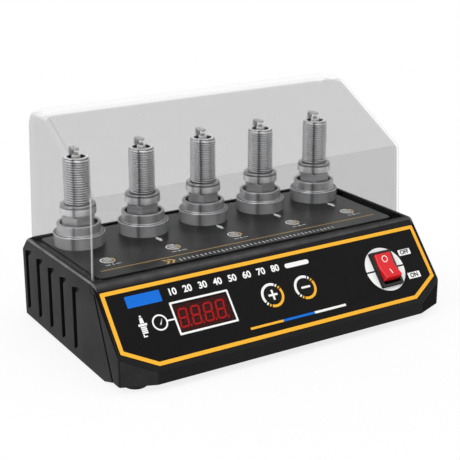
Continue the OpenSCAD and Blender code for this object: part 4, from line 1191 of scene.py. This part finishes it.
cover = bmesh.new()
highlight_mark = cover.loops.layers.float.new("edge")
tint_and_shade_mark = cover.loops.layers.float.new("tint_and_shade")
lit_rows = {0: 1.0, 1: 0.6}
top_glint, side_glint = 0.15, 0.03
top_edge_z, rear_y, bright_w = 95.0, 40.0, 1.6
feet_loops = []
for depth in (0.0, cover_wall):
    outside = depth == 0
    rows = cover_skin(cover, depth)
    sides = [cover.faces.new(rows[0]), cover.faces.new(rows[-1])]
    row_of = {vert: number for number, row in enumerate(rows) for vert in row}
    panes = []
    for left, right in zip(rows, rows[1:]):
        for k in range(len(left) - 1):
            panes.append(cover.faces.new((left[k], left[k + 1], right[k + 1], right[k])))
    for face in panes:
        face.normal_update()
        x, y, z = face.calc_center_median()
        upright = z < slope_foot and y < 0
        slope = not upright and y < slope_top - 2
        row = min(row_of[vert] for vert in face.verts)
        shade = pane_tint(row, upright, slope, z)
        catch = 1.0 if upright else top_glint if z > top_edge_z else 0.0
        fades = row == arc_steps and y > rear_y and z > shade_top
        for loop in face.loops:
            at_row = row_of[loop.vert]
            loop[highlight_mark] = lit_rows.get(at_row, 0.0) * catch if outside else 0.0
            loop[tint_and_shade_mark] = shade if outside and not (fades and at_row == main_row) else 0.0
    # The right side's rim is left clear towards the front, as a painted highlight.
    bright_edge = bmesh.ops.inset_individual(cover, faces=[sides[1]], thickness=bright_w)["faces"]
    for face in sides + bright_edge:
        x, y, z = face.calc_center_median()
        shade = left_shade if x < 0 else 0.0 if face in bright_edge and y < rear_y else right_shade
        for loop in face.loops:
            loop[tint_and_shade_mark] = shade if outside else 0.0
            loop[highlight_mark] = side_glint if outside else 0.0
    feet_loops.append([row[0] for row in rows] + [row[-1] for row in reversed(rows)])
outer, inner = feet_loops
for k in range(len(outer)):
    cover.faces.new((outer[k - 1], outer[k], inner[k], inner[k - 1]))
bmesh.ops.recalc_face_normals(cover, faces=cover.faces)
as_piece("cover_moulding", cover, acrylic, "clear_cover", ["cover"])

# Studio
# The object stands on pale paper that turns to plain white away from it, under soft lamps, and the
# camera stands where the photograph was taken.
floor_paper, tree, shader, place = new_finish("floor_paper", Roughness=0.9, Specular_IOR_Level=0.0)
fibres = noise(tree, place, scale=900.0, detail=3.0)
feed(tree, shader, Base_Color=mixed(tree, fibres, grey(0.9), grey(0.94)))
away = vector_step(tree, "LENGTH", place)
fade = add(tree, "ShaderNodeMapRange", {"Value": away, "From Min": 0.06, "From Max": 0.2, "To Min": 0.8},
           interpolation_type="SMOOTHSTEP").outputs["Result"]
white = add(tree, "ShaderNodeEmission", {"Color": grey(1.0), "Strength": 1.0})
feed(tree, tree.nodes["Material Output"], Surface=blended(tree, fade, shader, white).outputs[0])
floor_half = 8.0
floor_corners = [(floor_half * a, floor_half * b, 0) for a, b in ((-1, -1), (1, -1), (1, 1), (-1, 1))]
floor_mesh = bpy.data.meshes.new("floor")
floor_mesh.from_pydata(floor_corners, [], [(0, 1, 2, 3)])
floor_mesh.materials.append(floor_paper)
staged = [placed("floor", floor_mesh)]

aim = Vector((0, 0, 0.05))
for name, place, size, watts in (("key_lamp", (-0.95, -0.35, 0.75), 0.8, 7.0),
                                 ("fill_lamp", (0.7, -0.6, 0.9), 0.9, 1.8),
                                 ("top_lamp", (0.0, -0.1, 1.3), 0.9, 5.0)):
    lamp = bpy.data.lights.new(name, "AREA")
    lamp.energy = watts
    lamp.size = size
    held = placed(name, lamp)
    held.location = place
    held.rotation_euler = (aim - Vector(place)).to_track_quat("-Z", "Y").to_euler()
    staged.append(held)

camera_data = bpy.data.cameras.new("camera")
camera_data.sensor_width = 36.0
camera_data.lens = 91.4
camera_data.clip_start = 0.01
camera = placed("camera", camera_data)
camera.location = (-0.31559, -0.49286, 0.24666)
looking = Vector((0.5060, 0.8007, -0.3206))
camera.rotation_euler = looking.to_track_quat("-Z", "Y").to_euler()
bpy.context.scene.camera = camera
staged.append(camera)
bpy.context.scene.view_settings.view_transform = "Standard"

world = bpy.data.worlds.new("studio")
bpy.context.scene.world = world
world.use_nodes = True
tree = world.node_tree
background = tree.nodes["Background"]
rays = add(tree, "ShaderNodeLightPath").outputs
seen = math_step(tree, "MAXIMUM", rays["Is Camera Ray"], rays["Is Glossy Ray"])
seen = math_step(tree, "MAXIMUM", seen, rays["Is Transmission Ray"])
feed(tree, background, Strength=ranged(tree, seen, 0.45, 1.0))
background.inputs["Color"].default_value = grey(1.0)
